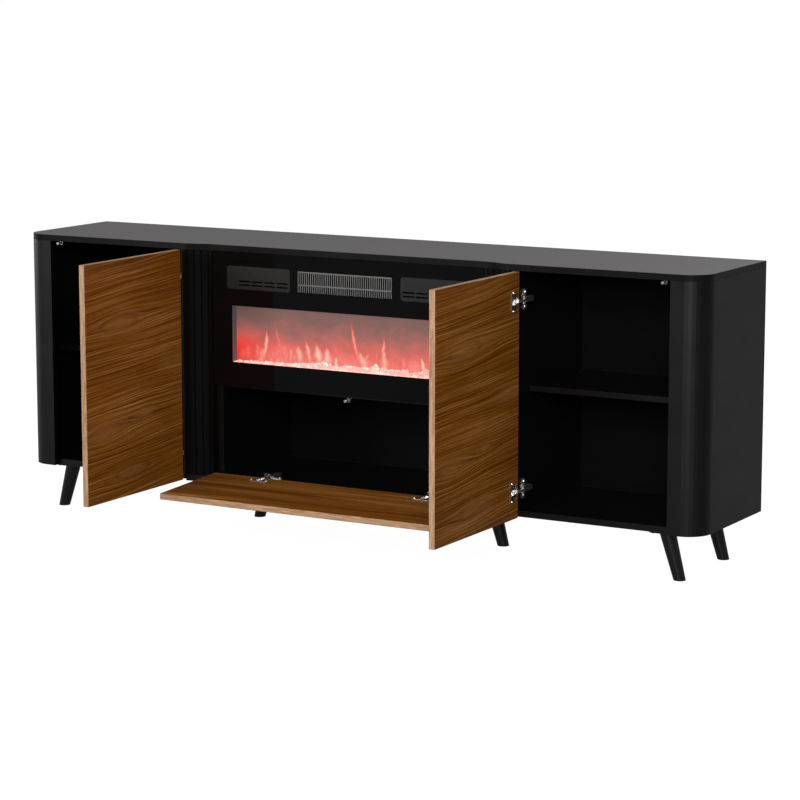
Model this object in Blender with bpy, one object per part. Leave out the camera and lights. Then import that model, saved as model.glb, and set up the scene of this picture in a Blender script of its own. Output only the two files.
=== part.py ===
# Fireplace cabinet: a low black media cabinet with two walnut doors, a walnut
# drop flap and an electric fireplace behind glass. Metres, +Z up, front to -Y.
# The doors and the flap stand open, as in the photograph.

import math

import bmesh
import bpy
from mathutils import Matrix, Vector


# Whole cabinet
CABINET_WIDTH = 2.000
CABINET_DEPTH = 0.380
BODY_HEIGHT = 0.632
LEG_HEIGHT = 0.120
BOARD = 0.016                 # thickness of the carcass boards
CORNER_RADIUS = 0.062         # rounded front corners, seen from above
CORNER_STEPS = 10
SEAT_GAP = 0.0003             # left where two pieces touch
DOOR_GAP = 0.002              # left round a door or the flap

# Middle of the front
FRONT_WIDTH = 0.804           # glass, and the flap below it
FLUTED_SPAN = 0.082           # from the glass to the wall of a side bay
CENTRE_RECESS = 0.018         # the middle lies this far behind the side bays
CURVE_STEPS = 8
GROOVE_COUNT = 4
GROOVE_WIDTH = 0.0032
GROOVE_DEPTH = 0.0030
SLAT_STEPS = 4
FLUTED_THICKNESS = 0.008
UPRIGHT_THICKNESS = 0.016

# Doors and flap
DOOR_THICKNESS = 0.016
SIDE_RETURN = 0.088           # width of the corner post beside a door
FLAP_EXTRA_DROP = 2.6         # degrees that the open flap falls past level

# Inside
SHELF_THICKNESS = 0.015
SHELF_TOP = 0.322             # above the underside of the body
SHELF_SETBACK = 0.062         # behind the front edge of the bay
BACK_THICKNESS = 0.003
BACK_INSET = 0.003

# Legs
LEG_TOP_RADIUS = 0.0205
LEG_FOOT_RADIUS = 0.0152
LEG_SPLAY = 0.034             # sideways, over the whole leg
LEG_PLATE_HALF = 0.035
LEG_PLATE_THICKNESS = 0.003
LEG_STEPS = 24
LEG_END_DISTANCE = 0.110      # from the end of the cabinet to a corner leg
LEG_EDGE_DISTANCE = 0.056     # from the front or back edge
MIDDLE_LEG_INSET = 0.065      # of a middle leg, from the end of the glass

# Concealed hinge. Its plane has two directions: out of the wall that carries
# the arm, and outward through the front. The third runs along the axes.
HINGE_OVERLAY = 0.014         # how far the shut door covers the wall's edge
POLE_INSET = 0.005            # point that the whole swing turns about: from the edge
POLE_LEAD = 0.001             # and in front of the shut door's face
DOOR_PIN_INSET = 0.009        # link's pin in the cup, from the door's edge
DOOR_PIN_DEPTH = 0.003        # and into the door
ARM_PIN_DEPTH = 0.003         # link's pin in the arm, past the door's back
LINK_HALF_THICKNESS = 0.0012
LINK_HALF_WIDTH = 0.0042
LINK_BEND_REACH = 0.005       # from the cup's pin to the bend
LINK_HOOK_CLEARANCE = 0.0009
PIN_RADIUS = 0.0011
PIN_CLEARANCE = 0.00015
CUP_RADIUS = 0.0173
CUP_DEPTH = 0.0110
CUP_FLOOR = 0.0008
CUP_INSET = 0.0225            # cup's centre from the door's edge
CUP_LIP = 0.0005
CUP_CLEARANCE = 0.0003
FLANGE_THICKNESS = 0.0012
FLANGE_HALF_LENGTH = 0.0265
FLANGE_NEAR = 0.0010          # from the cup's centre, away from the edge
FLANGE_FAR = 0.0195
POCKET_HALF_WIDTH = 0.0070
SLOT_HALF_WIDTH = 0.0046
ARM_HALF_WIDTH = 0.0062
ARM_HEIGHT = 0.0125
ARM_LENGTH = 0.058
EAR_RADIUS = 0.0030
WING_REACH = 0.025
WING_WIDTH = 0.012
WING_THICKNESS = 0.002
WING_DISTANCE = 0.031
HINGE_FROM_TOP = 0.090        # upper hinge, below the top of the body
HINGE_FROM_BOTTOM = 0.068
FLAP_HINGE_INSET = 0.157      # from the flap's end

# Push latches
LATCH_TRAVEL = 0.0145
LATCH_LENGTH = 0.042
LATCH_RADIUS = 0.0055
LATCH_BASE_HALF = 0.0075
LATCH_BASE_THICKNESS = 0.0018
PLUNGER_RADIUS = 0.0028
PLUNGER_TIP_RADIUS = 0.0042
PLUNGER_TIP_LENGTH = 0.0028
PLUNGER_CLEARANCE = 0.0003
LATCH_FROM_POST = 0.022

# Fireplace
GLASS_HEIGHT = 0.354
GLASS_THICKNESS = 0.004
GLASS_SETBACK = 0.0015        # behind the recessed edge of the top
GLASS_OVERLAP = 0.010         # over the front edge of the fireplace shelf
CASING_WALL = 0.0015
CASING_DEPTH = 0.175
WINDOW_SIDE = 0.057           # glass beside the window
WINDOW_SILL = 0.0636          # glass below it
WINDOW_HEAD = 0.0445          # glass between it and the vents
VENT_SIDE = 0.045             # glass beside a vent
VENT_GAP = 0.025              # glass between a vent and the grille
VENT_HEIGHT = 0.060
VENT_DROP = 0.0375            # from the underside of the top board
VENT_CORNER = 0.007
VENT_THICKNESS = 0.0040
SLOT_WIDTH = 0.034
SLOT_HEIGHT = 0.0040
SLOT_PITCH = 0.0385
SLOT_ROW_PITCH = 0.0098
SLOT_RISE = 0.0117            # lower row, above the plate's lower edge
SLOT_EDGE = 0.0065            # from the plate's inner end to the nearest slot
SLOT_FREE_END = 0.020         # at least this much is left plain at the outer end
GRILLE_WIDTH = 0.278
GRILLE_HEIGHT = 0.0537
GRILLE_DEPTH = 0.0050
GRILLE_FINS = 45
GRILLE_FIN = 0.0022
GRILLE_BAR = 0.0030
GRILLE_MIDDLE_BAR = 0.0204    # upper edge of the lower bar, above the ends of the fins
CUT_OUT_MARGIN = 0.0008       # glass and casing round a vent or the grille
DIVIDER_RISE = 0.010          # divider between the chambers, above the window
SCREEN_SETBACK = 0.020        # flame screen behind the casing's front
SCREEN_THICKNESS = 0.002
EMBER_HEIGHT = 0.017
EMBER_HOLLOW = 0.0068         # height of the bed between its lumps
EMBER_COUNT = 48
SPINDLE_VANE = 0.011
SPINDLE_SHAFT = 0.0025
SPINDLE_SETBACK = 0.030       # behind the screen
SPINDLE_HEIGHT = 0.028        # above the window's lower edge
BLOWER_RADIUS = 0.024
BLOWER_SHAFT = 0.003
BLOWER_BLADES = 14
BLOWER_INSET = 0.014          # blower's end, from the grille's end
BLOWER_SETBACK = 0.085
BRACKET_THICKNESS = 0.0015
HEATER_DEPTH = 0.016
HEATER_HEIGHT = 0.036
HEATER_FINS = 14
HEATER_SETBACK = 0.016
GLAND_RADIUS = 0.008
GLAND_LENGTH = 0.014
GLAND_BORE = 0.0035
GLAND_INSET = 0.083           # from the casing's end
GLAND_HEIGHT = 0.035
BACK_VENT_INSET = 0.204       # hole in the back, from the casing's end
BACK_VENT_HEIGHT = 0.140
BACK_VENT_DROP = 0.100
BACK_VENT_CORNER = 0.020


# Places that follow from the sizes above
base_z = LEG_HEIGHT
floor_top_z = base_z + BOARD
top_z = base_z + BODY_HEIGHT
ceiling_z = top_z - BOARD
half_width = CABINET_WIDTH / 2
side_inner_x = half_width - BOARD
post_edge_x = half_width - SIDE_RETURN
bay_front_y = DOOR_THICKNESS + DOOR_GAP
centre_front_y = CENTRE_RECESS + DOOR_THICKNESS + DOOR_GAP
front_half = FRONT_WIDTH / 2
partition_outer_x = front_half + FLUTED_SPAN
bay_face_x = partition_outer_x + BOARD
fluted_inner_x = front_half + DOOR_GAP
fluted_outer_x = partition_outer_x - 2 * DOOR_GAP
upright_outer_x = front_half - DOOR_GAP
upright_inner_x = upright_outer_x - UPRIGHT_THICKNESS
back_front_y = CABINET_DEPTH - BACK_INSET - BACK_THICKNESS
door_edge_x = bay_face_x - HINGE_OVERLAY
door_width = post_edge_x - DOOR_GAP - door_edge_x
door_low_z = base_z
door_high_z = ceiling_z - DOOR_GAP
glass_high_z = ceiling_z - 2 * SEAT_GAP
glass_low_z = glass_high_z - GLASS_HEIGHT
flap_low_z = floor_top_z - HINGE_OVERLAY
flap_height = glass_low_z - DOOR_GAP - flap_low_z
glass_front_y = CENTRE_RECESS + GLASS_SETBACK
flange_front_y = glass_front_y + GLASS_THICKNESS + SEAT_GAP
flange_back_y = flange_front_y + CASING_WALL
casing_back_y = flange_front_y + CASING_DEPTH
casing_half = upright_inner_x - 2 * SEAT_GAP
shelf_high_z = glass_low_z + GLASS_OVERLAP
shelf_low_z = shelf_high_z - BOARD
casing_low_z = shelf_high_z + SEAT_GAP
casing_high_z = ceiling_z - 2 * SEAT_GAP
window_half = front_half - WINDOW_SIDE
window_low_z = glass_low_z + WINDOW_SILL
window_high_z = ceiling_z - VENT_DROP - VENT_HEIGHT - WINDOW_HEAD
divider_z = window_high_z + DIVIDER_RISE
vent_mid_z = ceiling_z - VENT_DROP - VENT_HEIGHT / 2
vent_outer_x = front_half - VENT_SIDE
vent_inner_x = GRILLE_WIDTH / 2 + VENT_GAP
vent_half = (vent_outer_x - vent_inner_x) / 2
vent_centre_x = (vent_outer_x + vent_inner_x) / 2
chamber_back_y = casing_back_y - CASING_WALL
blower_half = GRILLE_WIDTH / 2 - BLOWER_INSET
bracket_x = blower_half + 2 * BLOWER_SHAFT


def front_edge(x):
    # The front edge of the top at this x: straight, then curved back in the middle.
    t = (fluted_outer_x - abs(x)) / (fluted_outer_x - front_half)
    t = min(max(t, 0.0), 1.0)
    return CENTRE_RECESS * t * t * (3 - 2 * t)


def turned(vector, degrees):
    angle = math.radians(degrees)
    return Vector((vector.x * math.cos(angle) - vector.y * math.sin(angle),
                   vector.x * math.sin(angle) + vector.y * math.cos(angle)))


def heading(vector):
    return math.degrees(math.atan2(vector.y, vector.x))


# The hinge's pins follow from the swing between the shut and the open door.
door_edge_v = -HINGE_OVERLAY
pole = Vector((door_edge_v + POLE_INSET, DOOR_THICKNESS + POLE_LEAD))
cup_pin_shut = Vector((door_edge_v + DOOR_PIN_INSET, DOOR_PIN_DEPTH))
cup_pin_reach = cup_pin_shut - pole
pin_line = turned(cup_pin_reach, 45)
arm_pin = pole + pin_line * ((ARM_PIN_DEPTH - pole.y) / pin_line.y)
cup_pin_open = pole + turned(cup_pin_reach, 90)
link_shut_angle = heading(cup_pin_shut - arm_pin) % 360
link_open_angle = heading(cup_pin_open - arm_pin) % 360
link_swing = link_shut_angle - link_open_angle
cup_swing = 90 + link_swing
link_length = (cup_pin_shut - arm_pin).length


# Materials and objects

def make_material(name, colour, roughness, metallic=0.0):
    material = bpy.data.materials.new(name)
    material.use_nodes = True
    shader = material.node_tree.nodes["Principled BSDF"]
    shader.inputs["Base Color"].default_value = (*colour, 1.0)
    shader.inputs["Roughness"].default_value = roughness
    shader.inputs["Metallic"].default_value = metallic
    material.diffuse_color = (*colour, 1.0)
    return material


def add_object(name, shape, material, at=(0, 0, 0), parent=None, smooth=False):
    # Takes a bmesh or a finished mesh, in coordinates relative to the object's origin.
    if isinstance(shape, bmesh.types.BMesh):
        bmesh.ops.recalc_face_normals(shape, faces=shape.faces)
        mesh = bpy.data.meshes.new(name)
        shape.to_mesh(mesh)
        shape.free()
    else:
        mesh = shape
    if smooth:
        mesh.shade_smooth()
        mesh.set_sharp_from_angle(angle=math.radians(35))
    if not mesh.materials:
        mesh.materials.append(material)
    piece = bpy.data.objects.new(name, mesh)
    bpy.context.scene.collection.objects.link(piece)
    piece.location = at
    piece.parent = parent
    return piece


def add_empty(name, at, parent=None, rotation=None):
    empty = bpy.data.objects.new(name, None)
    empty.empty_display_size = 0.03
    bpy.context.scene.collection.objects.link(empty)
    empty.location = at
    if rotation is not None:
        empty.rotation_euler = rotation
    empty.parent = parent
    return empty


def modify(piece, kind, operand):
    modifier = piece.modifiers.new(kind.lower(), "BOOLEAN")
    modifier.operation = kind
    modifier.solver = "EXACT"
    modifier.object = operand


def cut(piece, name, shape):
    # The cutter has the piece's own coordinates, so it follows the piece.
    cutter = add_object(name, shape, guide_material, parent=piece)
    cutter.display_type = "WIRE"
    cutter.hide_render = True
    modify(piece, "DIFFERENCE", cutter)


def combined(name, shape, steps):
    # Applies union and difference steps once, for a mesh that several objects share.
    base = add_object(name, shape, guide_material)
    helpers = [add_object(f"{name}_{i}", s, guide_material) for i, (_, s) in enumerate(steps)]
    for helper, (kind, _) in zip(helpers, steps):
        modify(base, kind, helper)
    graph = bpy.context.evaluated_depsgraph_get()
    mesh = bpy.data.meshes.new_from_object(base.evaluated_get(graph))
    mesh.materials.clear()
    for helper in (base, *helpers):
        bpy.data.objects.remove(helper)
    return mesh


# Shapes

def box(low, high, bevel=0.0):
    shape = bmesh.new()
    bmesh.ops.create_cube(shape, size=1.0)
    size = Vector(high) - Vector(low)
    middle = (Vector(high) + Vector(low)) / 2
    bmesh.ops.scale(shape, vec=size, verts=shape.verts)
    bmesh.ops.translate(shape, vec=middle, verts=shape.verts)
    if bevel:
        bmesh.ops.bevel(shape, geom=shape.edges, offset=bevel, segments=1, affect="EDGES")
    return shape


def loft(loops):
    # Joins loops of equal length into one closed skin, with a cap at each end.
    shape = bmesh.new()
    rings = [[shape.verts.new(point) for point in loop] for loop in loops]
    for lower, upper in zip(rings, rings[1:]):
        for i in range(len(lower)):
            j = (i + 1) % len(lower)
            shape.faces.new((lower[i], lower[j], upper[j], upper[i]))
    shape.faces.new(list(reversed(rings[0])))
    shape.faces.new(rings[-1])
    return shape


def prism(outline, low, high):
    # An outline in X and Y, raised along Z by extrusion.
    shape = bmesh.new()
    face = shape.faces.new([shape.verts.new((x, y, low)) for x, y in outline])
    raised = bmesh.ops.extrude_face_region(shape, geom=[face])
    tops = [item for item in raised["geom"] if isinstance(item, bmesh.types.BMVert)]
    bmesh.ops.translate(shape, vec=(0, 0, high - low), verts=tops)
    return shape


def circle(centre, radius, steps, start=0.0):
    return [(centre[0] + radius * math.cos(start + 2 * math.pi * i / steps),
             centre[1] + radius * math.sin(start + 2 * math.pi * i / steps))
            for i in range(steps)]


def arc(centre, radius, first, last, steps):
    points = []
    for i in range(steps + 1):
        angle = math.radians(first + (last - first) * i / steps)
        points.append((centre[0] + radius * math.cos(angle), centre[1] + radius * math.sin(angle)))
    return points


def rounded_rectangle(low, high, radius, steps=4):
    points = arc((high[0] - radius, high[1] - radius), radius, 0, 90, steps)
    points += arc((low[0] + radius, high[1] - radius), radius, 90, 180, steps)
    points += arc((low[0] + radius, low[1] + radius), radius, 180, 270, steps)
    points += arc((high[0] - radius, low[1] + radius), radius, 270, 360, steps)
    return points


def capsule(first, second, first_radius, second_radius, steps=5):
    # Outline round two circles of the hinge's plane.
    angle = heading(second - first)
    points = arc(second, second_radius, angle - 90, angle + 90, steps)
    points += arc(first, first_radius, angle + 90, angle + 270, steps)
    return points


def along_x(shape):
    # Turns a shape that was raised along Z, so that it lies along X.
    bmesh.ops.transform(shape, matrix=Matrix(((0, 0, 1, 0), (1, 0, 0, 0), (0, 1, 0, 0), (0, 0, 0, 1))),
                        verts=shape.verts)
    return shape


def along_y(shape):
    # Turns a shape that was drawn in X and Z and raised along its third axis.
    bmesh.ops.transform(shape, matrix=Matrix(((1, 0, 0, 0), (0, 0, 1, 0), (0, 1, 0, 0), (0, 0, 0, 1))),
                        verts=shape.verts)
    return shape


def add_board(name, low, high, material, parent, bevel=0.0006):
    # A flat board, with its origin in the middle of its lowest face.
    origin = Vector(((low[0] + high[0]) / 2, (low[1] + high[1]) / 2, low[2]))
    shape = box(Vector(low) - origin, Vector(high) - origin, bevel)
    return add_object(name, shape, material, origin, parent)


def mirrored(points):
    return points + [(-x, y) for x, y in reversed(points)]


# Carcass

def top_outline():
    right = []
    for i in range(CURVE_STEPS + 1):
        x = front_half + (fluted_outer_x - front_half) * i / CURVE_STEPS
        right.append((x, front_edge(x)))
    right += arc((half_width - CORNER_RADIUS, CORNER_RADIUS), CORNER_RADIUS, 270, 360, CORNER_STEPS)
    right.append((half_width, CABINET_DEPTH))
    return mirrored(right)


def bottom_outline():
    radius = CORNER_RADIUS - BOARD - SEAT_GAP
    start = 360 - math.degrees(math.asin((CORNER_RADIUS - bay_front_y) / radius))
    right = [(fluted_inner_x, centre_front_y)]
    for i in range(CURVE_STEPS + 1):
        x = fluted_inner_x + (fluted_outer_x - fluted_inner_x) * i / CURVE_STEPS
        right.append((x, front_edge(x)))
    right.append((fluted_outer_x, bay_front_y))
    right += arc((half_width - CORNER_RADIUS, CORNER_RADIUS), radius, start, 360, CORNER_STEPS)
    right.append((side_inner_x - SEAT_GAP, CABINET_DEPTH))
    return mirrored(right)


def add_side_panel(name, side, parent):
    # Flat side, rounded corner and the post beside the door, in one bent panel.
    centre = (half_width - CORNER_RADIUS, CORNER_RADIUS)
    outline = [(post_edge_x, 0.0)]
    outline += arc(centre, CORNER_RADIUS, 270, 360, CORNER_STEPS)
    outline += [(half_width, CABINET_DEPTH), (side_inner_x, CABINET_DEPTH)]
    outline += arc(centre, CORNER_RADIUS - BOARD, 360, 270, CORNER_STEPS)
    outline.append((post_edge_x, BOARD))
    outline = [((x - half_width) * side, y) for x, y in outline]
    shape = prism(outline, 0, ceiling_z - SEAT_GAP - base_z)
    return add_object(name, shape, black_board, (half_width * side, 0, base_z), parent, True)


def add_fluted_panel(name, side, parent):
    # A grooved front that follows the curve of the top, and a tongue along the upright.
    tongue = FLUTED_THICKNESS
    width = fluted_outer_x - fluted_inner_x
    front = []
    slat_start = fluted_inner_x
    for groove in range(GROOVE_COUNT + 1):
        groove_x = fluted_inner_x + width * (groove + 0.5) / GROOVE_COUNT
        last = groove == GROOVE_COUNT
        slat_end = fluted_outer_x if last else groove_x - GROOVE_WIDTH / 2
        for i in range(SLAT_STEPS + 1):
            x = slat_start + (slat_end - slat_start) * i / SLAT_STEPS
            front.append((x, front_edge(x) + SEAT_GAP))
        if not last:
            front.append((groove_x, front_edge(groove_x) + SEAT_GAP + GROOVE_DEPTH))
        slat_start = groove_x + GROOVE_WIDTH / 2
    back = []
    for i in range(CURVE_STEPS + 1):
        x = fluted_outer_x - (width - tongue) * i / CURVE_STEPS
        back.append((x, front_edge(x) + GROOVE_DEPTH + FLUTED_THICKNESS))
    ends = [(partition_outer_x - SEAT_GAP, bay_front_y + BOARD),
            (partition_outer_x - SEAT_GAP, bay_front_y + BOARD + tongue),
            (fluted_outer_x - tongue, bay_front_y + BOARD + tongue)]
    inner = [(upright_outer_x + SEAT_GAP + tongue, centre_front_y + 2 * BOARD),
             (upright_outer_x + SEAT_GAP, centre_front_y + 2 * BOARD),
             (upright_outer_x + SEAT_GAP, centre_front_y),
             (fluted_inner_x, centre_front_y)]
    outline = front + [(fluted_outer_x, bay_front_y + BOARD)] + ends + back[1:] + inner
    origin = fluted_inner_x
    outline = [((x - origin) * side, y) for x, y in outline]
    shape = prism(outline, 0, ceiling_z - floor_top_z - 2 * SEAT_GAP)
    at = (origin * side, 0, floor_top_z + SEAT_GAP)
    return add_object(name, shape, black_fluted, at, parent, True)


def add_carcass(parent):
    add_object("top_board", prism(top_outline(), 0, BOARD), black_top, (0, 0, ceiling_z), parent, True)
    add_object("bottom_board", prism(bottom_outline(), 0, BOARD), black_board, (0, 0, base_z),
               parent, True)
    low = floor_top_z + SEAT_GAP
    high = ceiling_z - SEAT_GAP
    inner_back_y = back_front_y - SEAT_GAP
    for word, side in (("left", -1), ("right", 1)):
        add_side_panel(f"{word}_side_panel", side, parent)

        def span(first, second):
            return sorted((first * side, second * side))

        x0, x1 = span(partition_outer_x, bay_face_x)
        add_board(f"{word}_partition", (x0, bay_front_y, low), (x1, CABINET_DEPTH, high),
                  black_board, parent)
        x0, x1 = span(upright_inner_x, upright_outer_x)
        add_board(f"{word}_inner_upright", (x0, centre_front_y, low), (x1, inner_back_y, high),
                  black_board, parent)
        x0, x1 = span(bay_face_x + SEAT_GAP, side_inner_x - SEAT_GAP)
        shelf_top = base_z + SHELF_TOP
        add_board(f"{word}_shelf", (x0, bay_front_y + SHELF_SETBACK, shelf_top - SHELF_THICKNESS),
                  (x1, inner_back_y, shelf_top), black_board, parent)
        add_board(f"{word}_back_panel", (x0, back_front_y, low),
                  (x1, back_front_y + BACK_THICKNESS, high), black_back, parent, 0.0)
        add_fluted_panel(f"{word}_fluted_panel", side, parent)
    centre = partition_outer_x - SEAT_GAP
    back = add_board("centre_back_panel", (-centre, back_front_y, low),
                     (centre, back_front_y + BACK_THICKNESS, high), black_back, parent, 0.0)
    reach = casing_half - BACK_VENT_INSET
    vent_top = ceiling_z - low - BACK_VENT_DROP
    outline = rounded_rectangle((-reach, vent_top - BACK_VENT_HEIGHT), (reach, vent_top), BACK_VENT_CORNER)
    cut(back, "centre_back_vent_cutter", along_y(prism(outline, -0.01, 0.01)))
    reach = upright_inner_x - SEAT_GAP
    add_board("fireplace_shelf", (-reach, centre_front_y, shelf_low_z),
              (reach, inner_back_y, shelf_high_z), black_board, parent)


def add_leg(name, x, y, splay, parent):
    # A tapered leg that leans outward, with its screw plate under the body.
    plate_z = LEG_HEIGHT - LEG_PLATE_THICKNESS
    foot = [(px + splay, py, 0) for px, py in circle((0, 0), LEG_FOOT_RADIUS, LEG_STEPS)]
    head = [(px, py, plate_z) for px, py in circle((0, 0), LEG_TOP_RADIUS, LEG_STEPS)]
    square = []
    for px, py in circle((0, 0), 1.0, LEG_STEPS):
        largest = max(abs(px), abs(py)) ** 0.85
        square.append((px / largest * LEG_PLATE_HALF, py / largest * LEG_PLATE_HALF))
    under = [(px, py, plate_z) for px, py in square]
    over = [(px, py, LEG_HEIGHT - SEAT_GAP) for px, py in square]
    add_object(name, loft([foot, head, under, over]), black_leg, (x, y, 0), parent, True)


def add_legs(parent):
    corner_x = half_width - LEG_END_DISTANCE
    middle_x = front_half - MIDDLE_LEG_INSET
    rows = (("front", LEG_EDGE_DISTANCE), ("back", CABINET_DEPTH - LEG_EDGE_DISTANCE))
    for word, side in (("left", -1), ("right", 1)):
        for row, y in rows:
            add_leg(f"{row}_{word}_leg", corner_x * side, y, LEG_SPLAY * side, parent)
        add_leg(f"middle_{word}_leg", middle_x * side, CABINET_DEPTH / 2, LEG_SPLAY * side, parent)


# Hinges, doors and flap. A hinge mesh has X out of the wall, Y outward through
# the front and Z along the pins, with its origin on the wall at the door's back.

def hinge_arm_mesh():
    # Arm on its winged plate, with two ears round the arm's pin.
    nose = arc(arm_pin, EAR_RADIUS, -30, 190, 8)
    profile = [(SEAT_GAP, -ARM_LENGTH), (ARM_HEIGHT, -ARM_LENGTH), (ARM_HEIGHT, -0.018)]
    profile += nose + [(SEAT_GAP, -0.012)]
    wing_low = (SEAT_GAP, -WING_DISTANCE - WING_WIDTH / 2, -WING_REACH)
    wing_high = (SEAT_GAP + WING_THICKNESS, -WING_DISTANCE + WING_WIDTH / 2, WING_REACH)
    gap = LINK_HALF_WIDTH + SEAT_GAP
    slot = box((arm_pin.x - 4 * EAR_RADIUS, arm_pin.y - LINK_HALF_THICKNESS * 4, -gap),
               (arm_pin.x + 2 * EAR_RADIUS, arm_pin.y + 2 * EAR_RADIUS, gap))
    bore = prism(circle(arm_pin, PIN_RADIUS + PIN_CLEARANCE, 12), -0.02, 0.02)
    steps = [("UNION", box(wing_low, wing_high)), ("DIFFERENCE", slot), ("DIFFERENCE", bore)]
    for side in (-1, 1):
        screw = circle((-WING_DISTANCE, side * 0.018), 0.0035, 10)
        head = along_x(prism(screw, SEAT_GAP + 0.001, SEAT_GAP + WING_THICKNESS + 0.0012))
        steps.append(("UNION", head))
    return combined("hinge_arm", prism(profile, -ARM_HALF_WIDTH, ARM_HALF_WIDTH), steps)


def hinge_link_mesh():
    # Bent so that it hooks out of the cup past the rim. X runs from the arm's pin
    # to the cup's pin, and the origin is on the arm's pin.
    rim = Vector((door_edge_v + CUP_INSET - CUP_RADIUS + CUP_FLOOR / 2, -CUP_LIP))
    to_rim = rim - cup_pin_shut
    clear = LINK_HALF_THICKNESS + LINK_HOOK_CLEARANCE
    way_out = heading(to_rim) + math.degrees(math.asin(clear / to_rim.length))
    straight = -cup_swing % 360 - 360
    lean = way_out - straight
    cup_end = Vector((link_length, 0))
    bend = cup_end + turned(Vector((LINK_BEND_REACH, 0)), 180 + lean)
    first = prism(capsule(cup_end, bend, LINK_HALF_THICKNESS * 1.3, LINK_HALF_THICKNESS),
                  -LINK_HALF_WIDTH, LINK_HALF_WIDTH)
    inner = LINK_HALF_WIDTH - 0.0001
    second = prism(capsule(bend, Vector((0, 0)), LINK_HALF_THICKNESS, LINK_HALF_THICKNESS * 1.6),
                   -inner, inner)
    arm_pin_half = ARM_HALF_WIDTH + SEAT_GAP
    cup_pin_half = POCKET_HALF_WIDTH - SEAT_GAP
    pins = [prism(circle((0, 0), PIN_RADIUS, 12), -arm_pin_half, arm_pin_half),
            prism(circle(cup_end, PIN_RADIUS, 12), -cup_pin_half, cup_pin_half)]
    steps = [("UNION", second)] + [("UNION", pin) for pin in pins]
    return combined("hinge_link", first, steps)


def hinge_cup_mesh():
    # Cup and flange in the door's back. The origin is on the cup's pin.
    centre = (door_edge_v + CUP_INSET, 0.0)
    flange_low = (centre[0] + FLANGE_NEAR, -FLANGE_HALF_LENGTH)
    flange_high = (centre[0] + FLANGE_FAR, FLANGE_HALF_LENGTH)
    top = -CUP_CLEARANCE - FLANGE_THICKNESS
    flange = prism(rounded_rectangle(flange_low, flange_high, 0.006), top, -CUP_CLEARANCE)
    bowl = prism(circle(centre, CUP_RADIUS, 32), -CUP_LIP, CUP_DEPTH)
    floor = CUP_DEPTH - CUP_FLOOR
    pocket_x = centre[0] + CUP_RADIUS * 0.88
    slot_x = centre[0] - CUP_RADIUS + CUP_FLOOR / 2
    pocket = box((door_edge_v + DOOR_PIN_INSET + 0.003, -POCKET_HALF_WIDTH, 2 * top),
                 (pocket_x, POCKET_HALF_WIDTH, floor))
    slot = box((slot_x, -SLOT_HALF_WIDTH, 2 * top), (pocket_x - 0.001, SLOT_HALF_WIDTH, floor))
    bore = bmesh.new()
    bmesh.ops.create_cone(bore, segments=12, radius1=PIN_RADIUS + PIN_CLEARANCE,
                          radius2=PIN_RADIUS + PIN_CLEARANCE, depth=2 * POCKET_HALF_WIDTH,
                          cap_ends=True, matrix=Matrix.Rotation(math.pi / 2, 4, "X"))
    bmesh.ops.translate(bore, vec=(cup_pin_shut.x, 0, cup_pin_shut.y), verts=bore.verts)
    steps = [("UNION", flange)]
    for side in (-1, 1):
        screw = circle((centre[0] + 0.0095, side * 0.0225), 0.0032, 10)
        steps.append(("UNION", prism(screw, top - 0.0007, top + 0.0004)))
    steps += [("DIFFERENCE", pocket), ("DIFFERENCE", slot), ("DIFFERENCE", bore)]
    mesh = combined("hinge_cup", bowl, steps)
    # Drawn lying on its back: swap its last two axes and move the pin to the origin.
    mesh.transform(Matrix(((1, 0, 0, 0), (0, 0, 1, 0), (0, -1, 0, 0), (0, 0, 0, 1))))
    mesh.transform(Matrix.Translation((-cup_pin_shut.x, -cup_pin_shut.y, 0)))
    return mesh


def hinge_axes(out_of_wall):
    # World directions of a hinge mesh's X, Y and Z.
    forward = Vector((0, -1, 0))
    return Matrix((out_of_wall, forward, out_of_wall.cross(forward))).transposed()


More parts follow.
